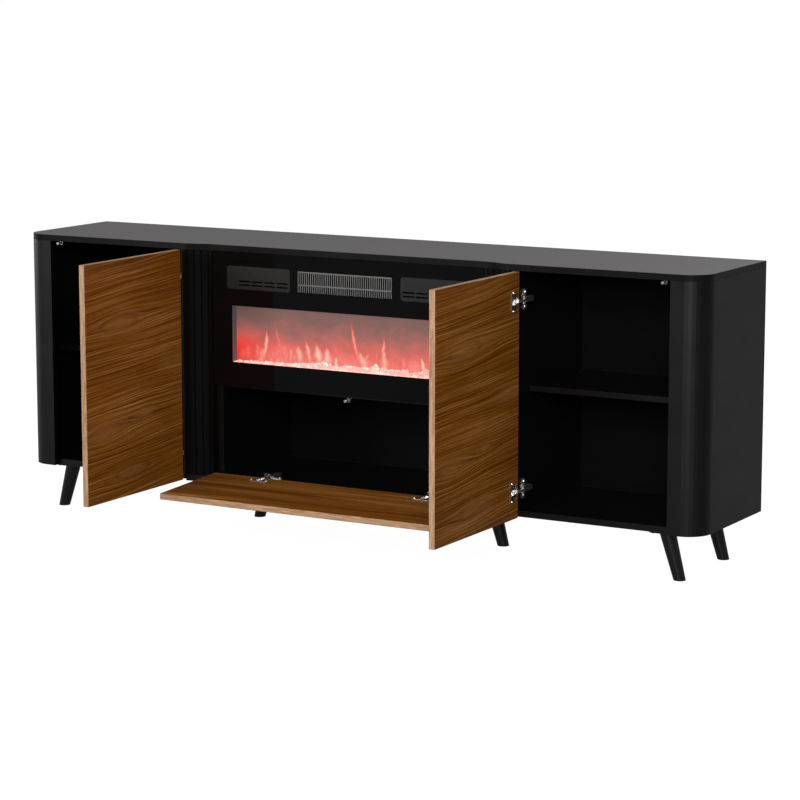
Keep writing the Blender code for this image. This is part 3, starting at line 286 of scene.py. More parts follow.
def walnut(name, grain, across, thick, seed, tilt, board):
    # grain, across and thick are the object's axes: along the grain, across it, through the board
    v = walnutValues
    material, tree, shader = newMaterial(name, v["middle"], v["roughness"], Specular_IOR_Level=v["specular"])
    parts = objectParts(tree)
    along, over = parts[grain], parts[across]

    def field(alongScale, overValue, overScale, shift, detail=2.0, roughness=0.5):
        point = combined(tree, mathNode(tree, "MULTIPLY", along, alongScale),
                         mathNode(tree, "MULTIPLY", overValue, overScale), seed + shift)
        return noise(tree, point, 1.0, detail, roughness)

    def centred(value):
        return mathNode(tree, "SUBTRACT", value, 0.5)

    # the growth lines run along the grain, a little uphill, and part round each heart
    level = mathNode(tree, "MULTIPLY_ADD", along, -tilt, over)
    place = mathNode(tree, "MULTIPLY_ADD", centred(field(1.5, over, 4.2, 0.0, 1.0, 0.4)), v["wave"], level)
    place = mathNode(tree, "MULTIPLY_ADD", centred(field(6.5, over, 15.0, 5.3)), v["ripple"], place)
    ragged = mathNode(tree, "MULTIPLY", centred(field(14.0, over, 40.0, 51.0)), v["ragged"])
    calm, loops = 0.0, 0.0
    for alongMiddle, overMiddle, halfLength, halfWidth, parting, loop in v[board + "Hearts"]:
        u = mathNode(tree, "DIVIDE", mathNode(tree, "SUBTRACT", along, alongMiddle), halfLength)
        offset = mathNode(tree, "SUBTRACT", level, overMiddle - tilt * alongMiddle)
        w = mathNode(tree, "ADD", mathNode(tree, "DIVIDE", offset, halfWidth), ragged)
        distance = mathNode(tree, "MULTIPLY_ADD", u, u, mathNode(tree, "MULTIPLY", w, w))
        swell = mathNode(tree, "POWER", math.e, mathNode(tree, "MULTIPLY", distance, -1.0))
        inward = mathNode(tree, "MULTIPLY", swell, mathNode(tree, "MULTIPLY", offset, -parting))
        place = mathNode(tree, "ADD", place, inward)
        calm = mathNode(tree, "MAXIMUM", calm, swell)
        if loop:
            fromLoop = mathNode(tree, "ABSOLUTE", mathNode(tree, "SUBTRACT", distance, v["loopPlace"]))
            ring = mapRange(tree, fromLoop, 0.0, v["loopWidth"], loop, 0.0, True)
            loops = mathNode(tree, "MAXIMUM", loops, ring)

    # each growth line is a dark line with a pale one beside it, and finer lines lie between
    spread = mathNode(tree, "MULTIPLY", field(0.35, place, 15.0, 9.1, 1.0), v["spread"])
    rings = mathNode(tree, "MULTIPLY_ADD", place, v[board + "Lines"], spread)
    shape = [(stop, (grey, grey, grey)) for stop, grey in v["lineShape"]]
    wide = ramp(tree, mathNode(tree, "FRACT", rings), shape)
    fine = mathNode(tree, "MULTIPLY_ADD", rings, v["fineLines"], v["fineStart"])
    fine = mathNode(tree, "SUBTRACT", mathNode(tree, "PINGPONG", fine, 0.5), 0.25)
    # the lines are fainter in places, in the calm hearts most of all, and break into dashes
    strength = mapRange(tree, field(1.3, place, 26.0, 13.7), 0.36, 0.62, 0.35, 1.0, True)
    strength = mathNode(tree, "MULTIPLY", strength, mapRange(tree, calm, 0.15, 0.75, 1.0, 0.35, True))
    dashes = mapRange(tree, field(8.0, place, 90.0, 61.3), 0.36, 0.64, 0.45, 1.25, True)
    strength = mathNode(tree, "MULTIPLY", strength, dashes)
    streak = centred(field(2.2, place, 230.0, 17.9, 3.0, 0.6))
    fibre = field(7.0, place, 800.0, 21.3, 3.0, 0.6)
    broad = centred(field(0.7, place, v[board + "CloudScale"], 25.1))
    cloud = centred(field(3.0, over, 7.0, 41.0))
    tone = mathNode(tree, "MULTIPLY", mathNode(tree, "SUBTRACT", wide, v["lineMiddle"]), strength)
    tone = mathNode(tree, "MULTIPLY_ADD", tone, v["lineTone"], v["baseTone"])
    for part, share in ((fine, v["fineTone"]), (streak, v["streakTone"]), (loops, v["loopTone"]),
                        (centred(fibre), v["fibreTone"]), (broad, v[board + "Clouds"]),
                        (cloud, v["cloudTone"])):
        tone = mathNode(tree, "MULTIPLY_ADD", part, share, tone)
    colour = ramp(tree, tone, [(0.08, v["dark"]), (0.44, v["middle"]), (0.72, v["light"]), (1.0, v["pale"])])
    blush = mathNode(tree, "MULTIPLY_ADD", cloud, 1.2, calm)
    colour = mixColour(tree, mapRange(tree, blush, 0.25, 1.0, 0.0, v["blush"], True), colour, v["calm"])
    pores = mapRange(tree, field(16.0, place, 950.0, 31.7), 0.62, 0.72, 0.0, v["poreDepth"])
    colour = mixColour(tree, pores, colour, v["pore"])

    # the edges carry a strip of banding, grained along the board's thickness; its pale colour is painted
    # light, standing for light catching the edges
    facing = mathNode(tree, "ABSOLUTE", normalParts(tree)[thick])
    edge = mapRange(tree, facing, 0.80, 0.60, 0.0, 1.0)
    bandScale = [26.0, 26.0, 26.0]
    bandScale[thick] = 300.0
    bandGrain = noise(tree, objectPoint(tree, tuple(bandScale), (seed, 0, 0)), 1.0, 3.0, 0.6)
    bandCloud = noise(tree, objectPoint(tree, location=(0, seed, 0)), 9.0, 3.0, 0.6)
    dull = tuple(part * factor for part, factor in zip(v["paintedLitBanding"], v["bandingDull"]))
    paintedLitBand = mixColour(tree, mapRange(tree, bandGrain, 0.38, 0.64, 0.0, 1.0), dull, v["paintedLitBanding"])
    paintedLitBand = mixColour(tree, mapRange(tree, bandCloud, 0.40, 0.65, 0.0, 0.45), paintedLitBand, dull)
    tree.links.new(mixColour(tree, edge, colour, paintedLitBand), shader.inputs["Base Color"])
    rough = mapRange(tree, streak, -0.2, 0.2, v["roughness"] - 0.06, v["roughness"] + 0.08)
    tree.links.new(rough, shader.inputs["Roughness"])
    bump(tree, shader, mathNode(tree, "SUBTRACT", fibre, pores), v["bumpStrength"], v["bumpHeight"])
    return material


metalValues = {
    # name: colour, roughness, how strongly it is brushed, bump height
    "nickelPlate": ((0.95, 0.94, 0.92), 0.29, 0.07, 0.00002),
    "latchZinc": ((0.27, 0.265, 0.26), 0.30, 0.06, 0.00003),
    "magnetSteel": ((0.34, 0.34, 0.33), 0.38, 0.05, 0.00004),
    "grilleChrome": ((0.19, 0.187, 0.184), 0.36, 0.08, 0.00003),
    "vaneFoil": ((0.70, 0.70, 0.69), 0.20, 0.10, 0.00005),
    "heaterFins": ((0.02, 0.019, 0.018), 0.60, 0.12, 0.00006),
    "screwSteel": ((0.62, 0.61, 0.59), 0.30, 0.06, 0.00002),
    "blackScrews": ((0.045, 0.044, 0.046), 0.38, 0.06, 0.00002),
}

metalTexture = {
    "brushScale": 2600,
    "brushStretch": (1, 1, 0.06),
    "stainScale": 130,
    "stainShade": 0.78,
    "bumpStrength": 0.4,
    # painted shade on the flanks of the grille's fins
    "grilleShadedFlankColour": (0.010, 0.009, 0.009),
}


def metal(name, shadedFlankColour=None):
    v = metalTexture
    colour, roughness, brushed, height = metalValues[name]
    material, tree, shader = newMaterial(name, colour, roughness, 1.0)
    brush = noise(tree, objectPoint(tree, v["brushStretch"]), v["brushScale"], 3, 0.6)
    stain = noise(tree, objectPoint(tree), v["stainScale"], 4, 0.6)
    stained = mapRange(tree, stain, 0.35, 0.7, 0.0, 1.0)
    finish = mixColour(tree, stained, colour, scaled(colour, v["stainShade"]))
    if shadedFlankColour:
        # painted shade: the flanks of the fins, which face along x, are painted darker than their fronts,
        # standing for the shade between the fins
        shadedFlank = mapRange(tree, mathNode(tree, "ABSOLUTE", normalParts(tree)[0]), 0.6, 0.9, 0.0, 1.0, True)
        finish = mixColour(tree, shadedFlank, finish, shadedFlankColour)
    tree.links.new(finish, shader.inputs["Base Color"])
    tree.links.new(mapRange(tree, brush, 0.3, 0.7, roughness - brushed * 0.5, roughness + brushed),
                   shader.inputs["Roughness"])
    bump(tree, shader, brush, v["bumpStrength"], height)
    return material


plasticValues = {
    # name: colour, roughness, specular level, grain height in metres
    "ventPlastic": ((0.0105, 0.0098, 0.0095), 0.42, 0.17, 0.00008),
    "fanPlastic": ((0.03, 0.03, 0.03), 0.5, 0.4, 0.00006),
    "glandPlastic": ((0.02, 0.02, 0.02), 0.5, 0.4, 0.00008),
}

plasticTexture = {
    "grainScale": 1400.0,
    "cloudScale": 40,
    "cloudGain": 1.25,
    "smoother": 0.04,
    "rougher": 0.05,
    "bumpStrength": 0.35,
}


def plastic(name):
    # moulded plastic with a fine spark-eroded texture
    v = plasticTexture
    colour, roughness, specular, height = plasticValues[name]
    material, tree, shader = newMaterial(name, colour, roughness, Specular_IOR_Level=specular)
    point = objectPoint(tree)
    grain = addNode(tree, "ShaderNodeTexVoronoi", Vector=point, Scale=v["grainScale"]).outputs["Distance"]
    cloud = noise(tree, point, v["cloudScale"], 3, 0.5)
    finish = mixColour(tree, cloud, colour, scaled(colour, v["cloudGain"]))
    tree.links.new(finish, shader.inputs["Base Color"])
    tree.links.new(mapRange(tree, cloud, 0.3, 0.7, roughness - v["smoother"], roughness + v["rougher"]),
                   shader.inputs["Roughness"])
    bump(tree, shader, grain, v["bumpStrength"], height)
    return material


windowValues = {
    "halfWidth": 0.3445,
    "low": 0.4450,
    "high": 0.5940,
    "edge": 0.0012,
    "clearness": 0.93,
    "print": (0.0026, 0.0024, 0.0024),
    "specular": 0.09,
    "roughness": 0.035,
    "smearScale": 14,
    "smearStretch": (1, 1, 0.4),
    "smearRoughness": 0.05,
}


def frontGlass(name):
    # black print behind the glass, left out over the window
    v = windowValues
    material, tree, shader = newMaterial(name, v["print"], v["roughness"], Specular_IOR_Level=v["specular"])
    parts = objectParts(tree)
    side = mathNode(tree, "ABSOLUTE", parts[0])
    inside = mapRange(tree, side, v["halfWidth"], v["halfWidth"] + v["edge"], 1.0, 0.0)
    above = mapRange(tree, parts[2], v["low"] - v["edge"], v["low"], 0.0, 1.0)
    below = mapRange(tree, parts[2], v["high"], v["high"] + v["edge"], 1.0, 0.0)
    clear = mathNode(tree, "MULTIPLY", mathNode(tree, "MULTIPLY", inside, above), below)
    alpha = mathNode(tree, "MULTIPLY_ADD", clear, -v["clearness"], 1.0)
    tree.links.new(alpha, shader.inputs["Alpha"])
    smear = noise(tree, objectPoint(tree, v["smearStretch"]), v["smearScale"], 5, 0.65)
    tree.links.new(mapRange(tree, smear, 0.4, 0.75, v["roughness"], v["roughness"] + v["smearRoughness"]),
                   shader.inputs["Roughness"])
    material.surface_render_method = "BLENDED"
    return material


flameValues = {
    "low": 0.4450,
    "height": 0.149,
    "strength": 1.06,
    "screen": (0.02, 0.016, 0.016),
    # metres that the flames shake sideways, slowly and fast
    "slowShake": 0.010,
    "fastShake": 0.0150,
    # reach of a wisp's glow at its foot in widths, its least reach in metres, and how blunt its tip is
    "footReach": 2.4,
    "leastReach": 0.0010,
    "bluntness": 0.70,
    # how many low tongues stand in a metre, and how bright they are
    "tongues": 34.0,
    "tongueHeat": 0.62,
    # how much the haze's height varies, as a share of the window
    "hazeLumps": 0.62,
    # colours by height, then by heat, then of the painted light on the screen's returned ends by height
    "haze": ((0.0, (1.0, 0.275, 0.230)), (0.16, (0.97, 0.205, 0.168)), (0.34, (0.72, 0.150, 0.120)),
             (0.55, (0.42, 0.140, 0.118)), (0.78, (0.250, 0.118, 0.103)), (1.0, (0.205, 0.114, 0.101))),
    "hot": ((0.0, (0.70, 0.100, 0.075)), (0.36, (0.92, 0.145, 0.110)), (0.62, (1.0, 0.30, 0.235)),
            (0.86, (1.0, 0.56, 0.44)), (1.0, (1.0, 0.72, 0.58))),
    "litReturns": ((0.0, (0.120, 0.070, 0.066)), (0.4, (0.085, 0.062, 0.060)), (1.0, (0.060, 0.050, 0.049))),
    # the haze is redder low at the left end and darker high up there; the span is where that fades in
    "leftSpan": (-0.345, -0.195),
    "leftRed": (0.88, 0.030, 0.012),
    "leftCorner": (0.085, 0.052, 0.046),
    # foot's place in metres, height as a share of the window, width, lean, curl, half waves, brightness
    "wisps": (
        (-0.330, 0.32, 0.0120, 0.004, 0.0020, 1, 0.42),
        (-0.312, 0.40, 0.0130, -0.004, 0.0030, 1, 0.45),
        (-0.285, 0.46, 0.0090, 0.006, 0.0020, 1, 0.55),
        (-0.270, 0.72, 0.0066, 0.011, 0.0120, 1, 0.90),
        (-0.266, 0.36, 0.0140, 0.002, 0.0020, 1, 0.66),
        (-0.238, 0.40, 0.0090, 0.006, 0.0030, 1, 0.50),
        (-0.194, 0.84, 0.0050, -0.037, -0.0040, 1, 0.52),
        (-0.178, 0.42, 0.0065, -0.002, 0.0010, 1, 0.72),
        (-0.156, 0.46, 0.0130, 0.008, 0.0050, 2, 0.86),
        (-0.166, 0.30, 0.0080, -0.004, 0.0020, 1, 0.60),
        (-0.117, 0.56, 0.0075, -0.020, 0.0015, 1, 0.88),
        (-0.084, 0.51, 0.0140, -0.018, -0.0030, 1, 1.00),
        (-0.074, 0.46, 0.0130, 0.000, 0.0060, 1, 0.96),
        (-0.064, 0.38, 0.0200, -0.008, 0.0010, 1, 0.86),
        (-0.040, 0.28, 0.0090, -0.004, 0.0010, 1, 0.98),
        (0.034, 1.00, 0.0062, -0.033, -0.0050, 1, 0.70),
        (0.048, 0.36, 0.0180, -0.012, 0.0000, 1, 0.80),
        (0.041, 0.44, 0.0105, -0.015, -0.0010, 1, 0.88),
        (0.056, 0.32, 0.0110, 0.000, 0.0020, 1, 0.55),
        (0.080, 0.56, 0.0060, -0.005, 0.0020, 1, 0.48),
        (0.103, 0.76, 0.0068, -0.006, -0.0022, 2, 0.82),
        (0.102, 0.40, 0.0160, -0.004, 0.0030, 1, 0.84),
        (0.158, 0.42, 0.0100, -0.002, 0.0020, 1, 0.60),
        (0.223, 0.42, 0.0080, -0.012, -0.0030, 1, 1.00),
        (0.240, 0.60, 0.0080, -0.010, 0.0030, 1, 0.72),
        (0.272, 0.44, 0.0100, 0.004, 0.0040, 1, 0.70),
        (0.297, 0.72, 0.0080, -0.014, 0.0050, 2, 0.90),
        (0.325, 0.50, 0.0090, 0.004, 0.0040, 1, 0.62),
    ),
}


def flameGlow(name):
    # light thrown on the screen: a lumpy pink haze that fades upward, and glowing wisps of flame in it
    v = flameValues
    material, tree, shader = newMaterial(name, v["screen"], 0.5, Specular_IOR_Level=0.1)
    parts = objectParts(tree)
    x = parts[0]
    h = mapRange(tree, parts[2], v["low"], v["low"] + v["height"], 0.0, 1.0)

    def centredNoise(scales, shift, detail, roughness=0.5):
        value = noise(tree, objectPoint(tree, scales, shift), 1.0, detail, roughness)
        return mathNode(tree, "SUBTRACT", value, 0.5)

    slow = centredNoise((9.0, 0, 14.0), (0, 0, 0), 2)
    fast = centredNoise((60.0, 0, 70.0), (3, 0, 1), 3, 0.6)
    shaken = mathNode(tree, "MULTIPLY_ADD", slow, v["slowShake"], x)
    shaken = mathNode(tree, "MULTIPLY_ADD", fast, v["fastShake"], shaken)
    heat = 0.0
    for foot, top, width, lean, curl, waves, bright in v["wisps"]:
        progress = mathNode(tree, "DIVIDE", h, top)
        bend = mathNode(tree, "SINE", mathNode(tree, "MULTIPLY", progress, math.pi * waves))
        centre = mathNode(tree, "MULTIPLY_ADD", bend, curl, foot)
        centre = mathNode(tree, "MULTIPLY_ADD", progress, lean, centre)
        left = mathNode(tree, "SUBTRACT", 1.0, progress, clamp=True)
        taper = mathNode(tree, "POWER", left, v["bluntness"])
        reach = mathNode(tree, "MULTIPLY_ADD", taper, width * v["footReach"], v["leastReach"])
        gap = mathNode(tree, "ABSOLUTE", mathNode(tree, "SUBTRACT", shaken, centre))
        near = mathNode(tree, "SUBTRACT", 1.0, mathNode(tree, "DIVIDE", gap, reach), clamp=True)
        tip = mapRange(tree, progress, 0.55, 1.0, bright, 0.0, True)
        near = mathNode(tree, "MULTIPLY", near, mapRange(tree, progress, 0.0, 0.45, 0.60, 1.0, True))
        heat = mathNode(tree, "MAXIMUM", heat, mathNode(tree, "MULTIPLY", near, tip))

    # low broken tongues stand between the wisps
    peaks = noise(tree, combined(tree, mathNode(tree, "MULTIPLY", shaken, v["tongues"]), 0.3,
                                 mathNode(tree, "MULTIPLY", h, 1.6)), 1.0, 2.0, 0.6)
    peaks = mathNode(tree, "SUBTRACT", peaks, mapRange(tree, h, 0.0, 0.50, 0.40, 0.72))
    heat = mathNode(tree, "MAXIMUM", heat, mapRange(tree, peaks, 0.0, 0.22, 0.0, v["tongueHeat"], True))

    lumps = centredNoise((17.0, 0, 22.0), (5, 0, 2), 4, 0.6)
    haze = ramp(tree, mathNode(tree, "MULTIPLY_ADD", lumps, -v["hazeLumps"], h), v["haze"])
    leftEnd = mapRange(tree, x, *v["leftSpan"], 1.0, 0.0, True)
    low = mapRange(tree, h, 0.74, 0.12, 0.0, 1.0, True)
    haze = mixColour(tree, mathNode(tree, "MULTIPLY", leftEnd, low), haze, v["leftRed"])
    corner = mathNode(tree, "MULTIPLY", leftEnd, mapRange(tree, h, 0.40, 1.0, 0.0, 0.62, True))
    haze = mixColour(tree, corner, haze, v["leftCorner"])
    hot = ramp(tree, heat, v["hot"])
    glow = mixColour(tree, mapRange(tree, heat, 0.03, 0.62, 0.0, 0.96, True), haze, hot)

    # the returns at the ends of the screen are plain sheet, painted with a dim glow that is brighter low
    # down: painted light falling on them
    litReturnMask = mapRange(tree, mathNode(tree, "ABSOLUTE", normalParts(tree)[0]), 0.4, 0.6, 0.0, 1.0)
    glow = mixColour(tree, litReturnMask, glow, ramp(tree, h, v["litReturns"]))
    tree.links.new(glow, shader.inputs["Emission Color"])
    shader.inputs["Emission Strength"].default_value = v["strength"]
    return material


crystalValues = {
    "colour": (0.80, 0.50, 0.44),
    "strength": 0.97,
    "roughness": 0.12,
    "specular": 0.6,
    "cellScale": 95.0,
    "cloudScale": 34,
    # what each thing adds to the depth of the red: cells, clouds, and how far a facet looks up and to the
    # right, which paints those facets paler as a painted highlight
    "base": 0.255,
    "cells": 0.42,
    "clouds": 0.34,
    "upward": -0.22,
    "rightward": -0.10,
    "stops": ((0.16, (1.0, 0.94, 0.90)), (0.36, (1.0, 0.64, 0.56)),
              (0.52, (0.95, 0.22, 0.17)), (0.74, (0.40, 0.05, 0.04))),
}


def crystalGlow(name):
    # clear crystals lit from below: pale where thick, red in the gaps
    v = crystalValues
    material, tree, shader = newMaterial(name, v["colour"], v["roughness"], Specular_IOR_Level=v["specular"])
    cell = addNode(tree, "ShaderNodeTexVoronoi", Vector=objectPoint(tree), Scale=v["cellScale"])
    cloud = noise(tree, objectPoint(tree), v["cloudScale"], 2, 0.5)
    normal = normalParts(tree)
    tone = mathNode(tree, "MULTIPLY_ADD", cell.outputs["Distance"], v["cells"],
                    mathNode(tree, "MULTIPLY", cloud, v["clouds"]))
    # painted highlight: facets that look up and to the right are painted paler
    paintedFacetHighlight = mathNode(tree, "MULTIPLY_ADD", normal[2], v["upward"], v["base"])
    paintedFacetHighlight = mathNode(tree, "MULTIPLY_ADD", normal[0], v["rightward"], paintedFacetHighlight)
    colour = ramp(tree, mathNode(tree, "ADD", tone, paintedFacetHighlight), v["stops"])
    tree.links.new(colour, shader.inputs["Emission Color"])
    shader.inputs["Emission Strength"].default_value = v["strength"]
    return material


def paint(material, *names):
    for name in names:
        piece = nodes[name]
        piece.data.materials.clear()
        piece.data.materials.append(material)


legNames = [(f"{row}_{side}_leg", side) for row in ("front", "middle", "back") for side in ("left", "right")]

paint(lacquer("topLacquer", paintedLitTopValues), "top_board")
paint(lacquer("carcassLacquer"), "bottom_board", "left_side_panel", "right_side_panel", "left_partition",
      "right_partition", "left_inner_upright", "right_inner_upright", "left_shelf", "right_shelf",
      "fireplace_shelf")
paint(lacquer("backPaint", rearFaceValues), "left_back_panel", "centre_back_panel", "right_back_panel")
paint(lacquer("flutedLacquer"), "left_fluted_panel", "right_fluted_panel")
paint(lacquer("legLacquer"), *[name for name, side in legNames])
paint(walnut("walnutLeftDoor", 1, 2, 0, 2.3, 0.058, "door"), "left_door")
paint(walnut("walnutRightDoor", 1, 2, 0, 2.9, 0.058, "door"), "right_door")
paint(walnut("walnutFlap", 0, 1, 2, 4.4, 0.012, "flap"), "flap")
paint(metal("nickelPlate"), *[name for name in nodes if "_hinge_" in name])
paint(metal("latchZinc"), *[name for name in nodes if name.endswith("latch_body")])
paint(metal("magnetSteel"), *[name for name in nodes if name.endswith("latch_plunger")])
paint(lacquer("casingEnamel"), "fireplace_casing")
paint(frontGlass("frontGlass"), "fireplace_glass")
paint(plastic("ventPlastic"), "left_vent_plate", "right_vent_plate")
paint(metal("grilleChrome", metalTexture["grilleShadedFlankColour"]), "heater_grille")
paint(metal("heaterFins"), "heating_element")
paint(plastic("fanPlastic"), "blower_wheel")
paint(metal("vaneFoil"), "flame_spindle")
paint(flameGlow("flameGlow"), "flame_screen")
paint(plastic("glandPlastic"), "cable_gland")
screwSteel = metal("screwSteel")
blackScrews = metal("blackScrews")
crystalGlowMaterial = crystalGlow("crystalGlow")
print("stage: finishes painted")


# Pieces that the frame holds only roughly

def deselectAll():
    for item in bpy.context.selected_objects:
        item.select_set(False)


def applyTransforms():
    bpy.ops.object.transform_apply(location=True, rotation=True, scale=True)


def joined(items, name, material):
    deselectAll()
    for item in items:
        item.select_set(True)
    bpy.context.view_layer.objects.active = items[0]
    if len(items) > 1:
        bpy.ops.object.join()
    piece = bpy.context.view_layer.objects.active
    applyTransforms()
    piece.name = name
    piece.data.name = name
    piece.data.materials.clear()
    piece.data.materials.append(material)
    piece.select_set(False)
    return piece


def copied(pattern):
    copy = pattern.copy()
    copy.data = pattern.data.copy()
    bpy.context.scene.collection.objects.link(copy)
    return copy


emberValues = {
    "count": 560,
    "seed": 7,
    "smallest": 0.0026,
    "largest": 0.0098,
    # the crystals' size at the left end as a share of the full size, and how soon they reach it
    "leftSize": 0.48,
    "sizeRise": 2.4,
    # heap's height in metres at both ends, and how soon it reaches the full one
    "heapLeft": 0.0008,
    "heapRight": 0.0170,
    "heapRise": 1.7,
    # the heap's lumps: how deep, how dense, and how densely they vary
    "lumpDepth": 0.38,
    "lumps": 58.0,
    "slowLumps": 23.0,
    # above 1 the crystals lie mostly low in the heap, below 1 mostly high
    "packing": 0.8,
    # a crystal's reach in radii, and the room kept free at the bed's ends, front and back
    "reach": 1.35,
    "endRoom": 0.009,
    "frontRoom": 0.0012,
    "backRoom": 0.0015,
    # the bed stands this far above the window's lower edge, with edges rounded by as much
    "bedLift": 0.002,
    # crystal patterns: turn in radians, and stretch along the three axes
    "patterns": (
        (0.4, (1.2, 0.7, 1.0)),
        (1.3, (1.0, 0.9, 0.6)),
        (2.1, (0.8, 0.7, 1.3)),
        (2.9, (1.3, 0.8, 0.8)),
    ),
    # the directions of the two planes that cut a pattern, and their distance from its middle
    "cuts": ((0.3, 0.2, 1.0), (-0.8, 0.5, 0.3)),
    "cutPlace": 0.62,
}


def addCrystalPattern(turn, stretch):
    # one broken crystal of unit radius: a ball of flat facets, cut off twice and drawn out
    v = emberValues
    deselectAll()
    bpy.ops.mesh.primitive_ico_sphere_add(subdivisions=1, radius=1, rotation=(turn, turn * 0.7, 0))
    crystal = bpy.context.object
    applyTransforms()
    bpy.ops.object.mode_set(mode="EDIT")
    for normal in v["cuts"]:
        bpy.ops.mesh.select_all(action="SELECT")
        middle = tuple(v["cutPlace"] * part for part in Vector(normal).normalized())
        bpy.ops.mesh.bisect(plane_co=middle, plane_no=normal, use_fill=True, clear_outer=True)
    bpy.ops.mesh.select_all(action="SELECT")
    bpy.ops.transform.resize(value=stretch)
    bpy.ops.mesh.normals_make_consistent(inside=False)
    bpy.ops.object.mode_set(mode="OBJECT")
    crystal.select_set(False)
    return crystal


def addEmbers():
    # loose crystals heaped along the foot of the screen, over a low bed
    v = emberValues
    random.seed(v["seed"])
    low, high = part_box("ember_bed")
    front, back = low.y + v["frontRoom"], high.y - v["backRoom"]
    level = windowValues["low"]
    bedTop = level + v["bedLift"]
    deselectAll()
    bpy.ops.mesh.primitive_cube_add(size=1, location=(0, (low.y + high.y) / 2, (low.z + bedTop) / 2))
    bed = bpy.context.object
    bed.scale = (high.x - low.x, high.y - low.y, bedTop - low.z)
    applyTransforms()
    bpy.ops.object.mode_set(mode="EDIT")
    bpy.ops.mesh.select_all(action="SELECT")
    bpy.ops.mesh.bevel(offset=v["bedLift"], segments=2, affect="EDGES")
    bpy.ops.object.mode_set(mode="OBJECT")
    bedPiece = joined([bed], "emberTray", crystalGlowMaterial)
    patterns = [addCrystalPattern(turn, stretch) for turn, stretch in v["patterns"]]
    shards = []
    for i in range(v["count"]):
        radius = random.uniform(v["smallest"], v["largest"])
        x = random.uniform(low.x + v["endRoom"], high.x - v["endRoom"])
        share = (x - low.x) / (high.x - low.x)
        radius *= v["leftSize"] + (1 - v["leftSize"]) * min(share * v["sizeRise"], 1.0)
        lump = math.sin(x * v["lumps"]) * math.cos(x * v["slowLumps"] + 1.0)
        heap = v["heapLeft"] + (v["heapRight"] - v["heapLeft"]) * min(share * v["heapRise"], 1.0)
        heap *= 1 - v["lumpDepth"] + v["lumpDepth"] * lump
        reach = radius * v["reach"]
        y = random.uniform(front + reach, max(front + reach, back - reach))
        shard = copied(random.choice(patterns))
        shard.location = (x, y, level + random.uniform(0.0, 1.0) ** v["packing"] * heap)
        shard.rotation_euler = (random.uniform(-0.5, 0.5), random.uniform(0, 3.1), random.uniform(0, 6.2))
        shard.scale = (radius, radius, radius)
        shards.append(shard)
    for pattern in patterns:
        bpy.data.objects.remove(pattern)
    crystals = joined(shards, "emberCrystals", crystalGlowMaterial)
    for piece in (bedPiece, crystals):
        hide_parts("ember_bed")
        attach(piece, "cabinet")


addEmbers()
print("stage: embers heaped")


screwValues = {
    "headRadius": 0.0036,
    "headHeight": 0.0009,
    "recessDepth": 0.0007,
    "recessWidth": 0.0010,
    "recessReach": 0.0022,
    # share of the head's height that its dome takes
    "dome": 0.62,
    # bosses of a hinge arm stand this high over its lowest point
    "armBoss": 0.0032,
    # faces this near in height belong to one level of bosses, and faces this near in place to one boss
    "sameLevel": 0.0002,
    "sameBoss": 0.012,
    "legRadius": 0.0042,
    "legHeight": 0.0018,
    "legSpot": 0.0265,
    "legPlate": 0.0030,
}


def screwHead(radius, height, place, outward):
    # domed head with a cross recess; its rim lies on the surface at place
    v = screwValues
    deselectAll()
    bpy.ops.mesh.primitive_cylinder_add(vertices=20, radius=radius, depth=height,
                                        location=(0, 0, height / 2))
    head = bpy.context.object
    applyTransforms()
    bpy.ops.object.mode_set(mode="EDIT")
    bpy.ops.mesh.select_all(action="DESELECT")
    bpy.ops.object.mode_set(mode="OBJECT")
    for edge in head.data.edges:
        edge.select = all(head.data.vertices[i].co.z > height * 0.9 for i in edge.vertices)
    bpy.ops.object.mode_set(mode="EDIT")
    bpy.ops.mesh.select_mode(type="EDGE")
    bpy.ops.mesh.bevel(offset=height * v["dome"], segments=3, affect="EDGES")
    bpy.ops.object.mode_set(mode="OBJECT")
    for turn in (0, 90):
        bpy.ops.mesh.primitive_cube_add(size=1, location=(0, 0, height), rotation=(0, 0, math.radians(turn)))
        cutter = bpy.context.object
        cutter.scale = (v["recessReach"] * 2, v["recessWidth"], v["recessDepth"] * 2)
        bpy.ops.object.mode_set(mode="EDIT")
        bpy.ops.mesh.select_all(action="SELECT")
        bpy.ops.mesh.bevel(offset=0.1, segments=1, affect="EDGES")
        bpy.ops.object.mode_set(mode="OBJECT")
        deselectAll()
        head.select_set(True)
        bpy.context.view_layer.objects.active = head
        cut = head.modifiers.new("recess", "BOOLEAN")
        cut.operation = "DIFFERENCE"
        cut.object = cutter
        bpy.ops.object.modifier_apply(modifier=cut.name)
        bpy.data.objects.remove(cutter)
    head.rotation_euler = Vector(outward).to_track_quat("Z", "Y").to_euler()
    head.location = place
    applyTransforms()
    return head


def screwRow(radius, height, spots, outward, name, material, carrier):
    # one head at each spot, joined into a piece that rides on the carrier
    first = screwHead(radius, height, spots[0], outward)
    heads = [first]
    for spot in spots[1:]:
        heads.append(copied(first))
        heads[-1].location = spot - spots[0]
    piece = joined(heads, name, material)
    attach(piece, carrier)


def bossSpots(node, outward, boss=None):
    # middles of a hinge piece's flat bosses: faces that look outward, as high as boss over the piece's
    # lowest point, or else its highest ones
    v = screwValues
    outward = Vector(outward)
    mesh = nodes[node].data
    heights = [(face.center.dot(outward), face) for face in mesh.polygons if face.normal.dot(outward) > 0.99]
    if boss is None:
        wanted = max(height for height, face in heights)
    else:
        wanted = min(vertex.co.dot(outward) for vertex in mesh.vertices) + boss
    spots = []
    for height, face in heights:
        if abs(height - wanted) < v["sameLevel"]:
            for spot in spots:
                if (spot[0] / spot[1] - face.center).length < v["sameBoss"]:
                    spot[0] += face.center * face.area
                    spot[1] += face.area
                    break
            else:
                spots.append([face.center * face.area, face.area])
    return [total / area for total, area in spots]


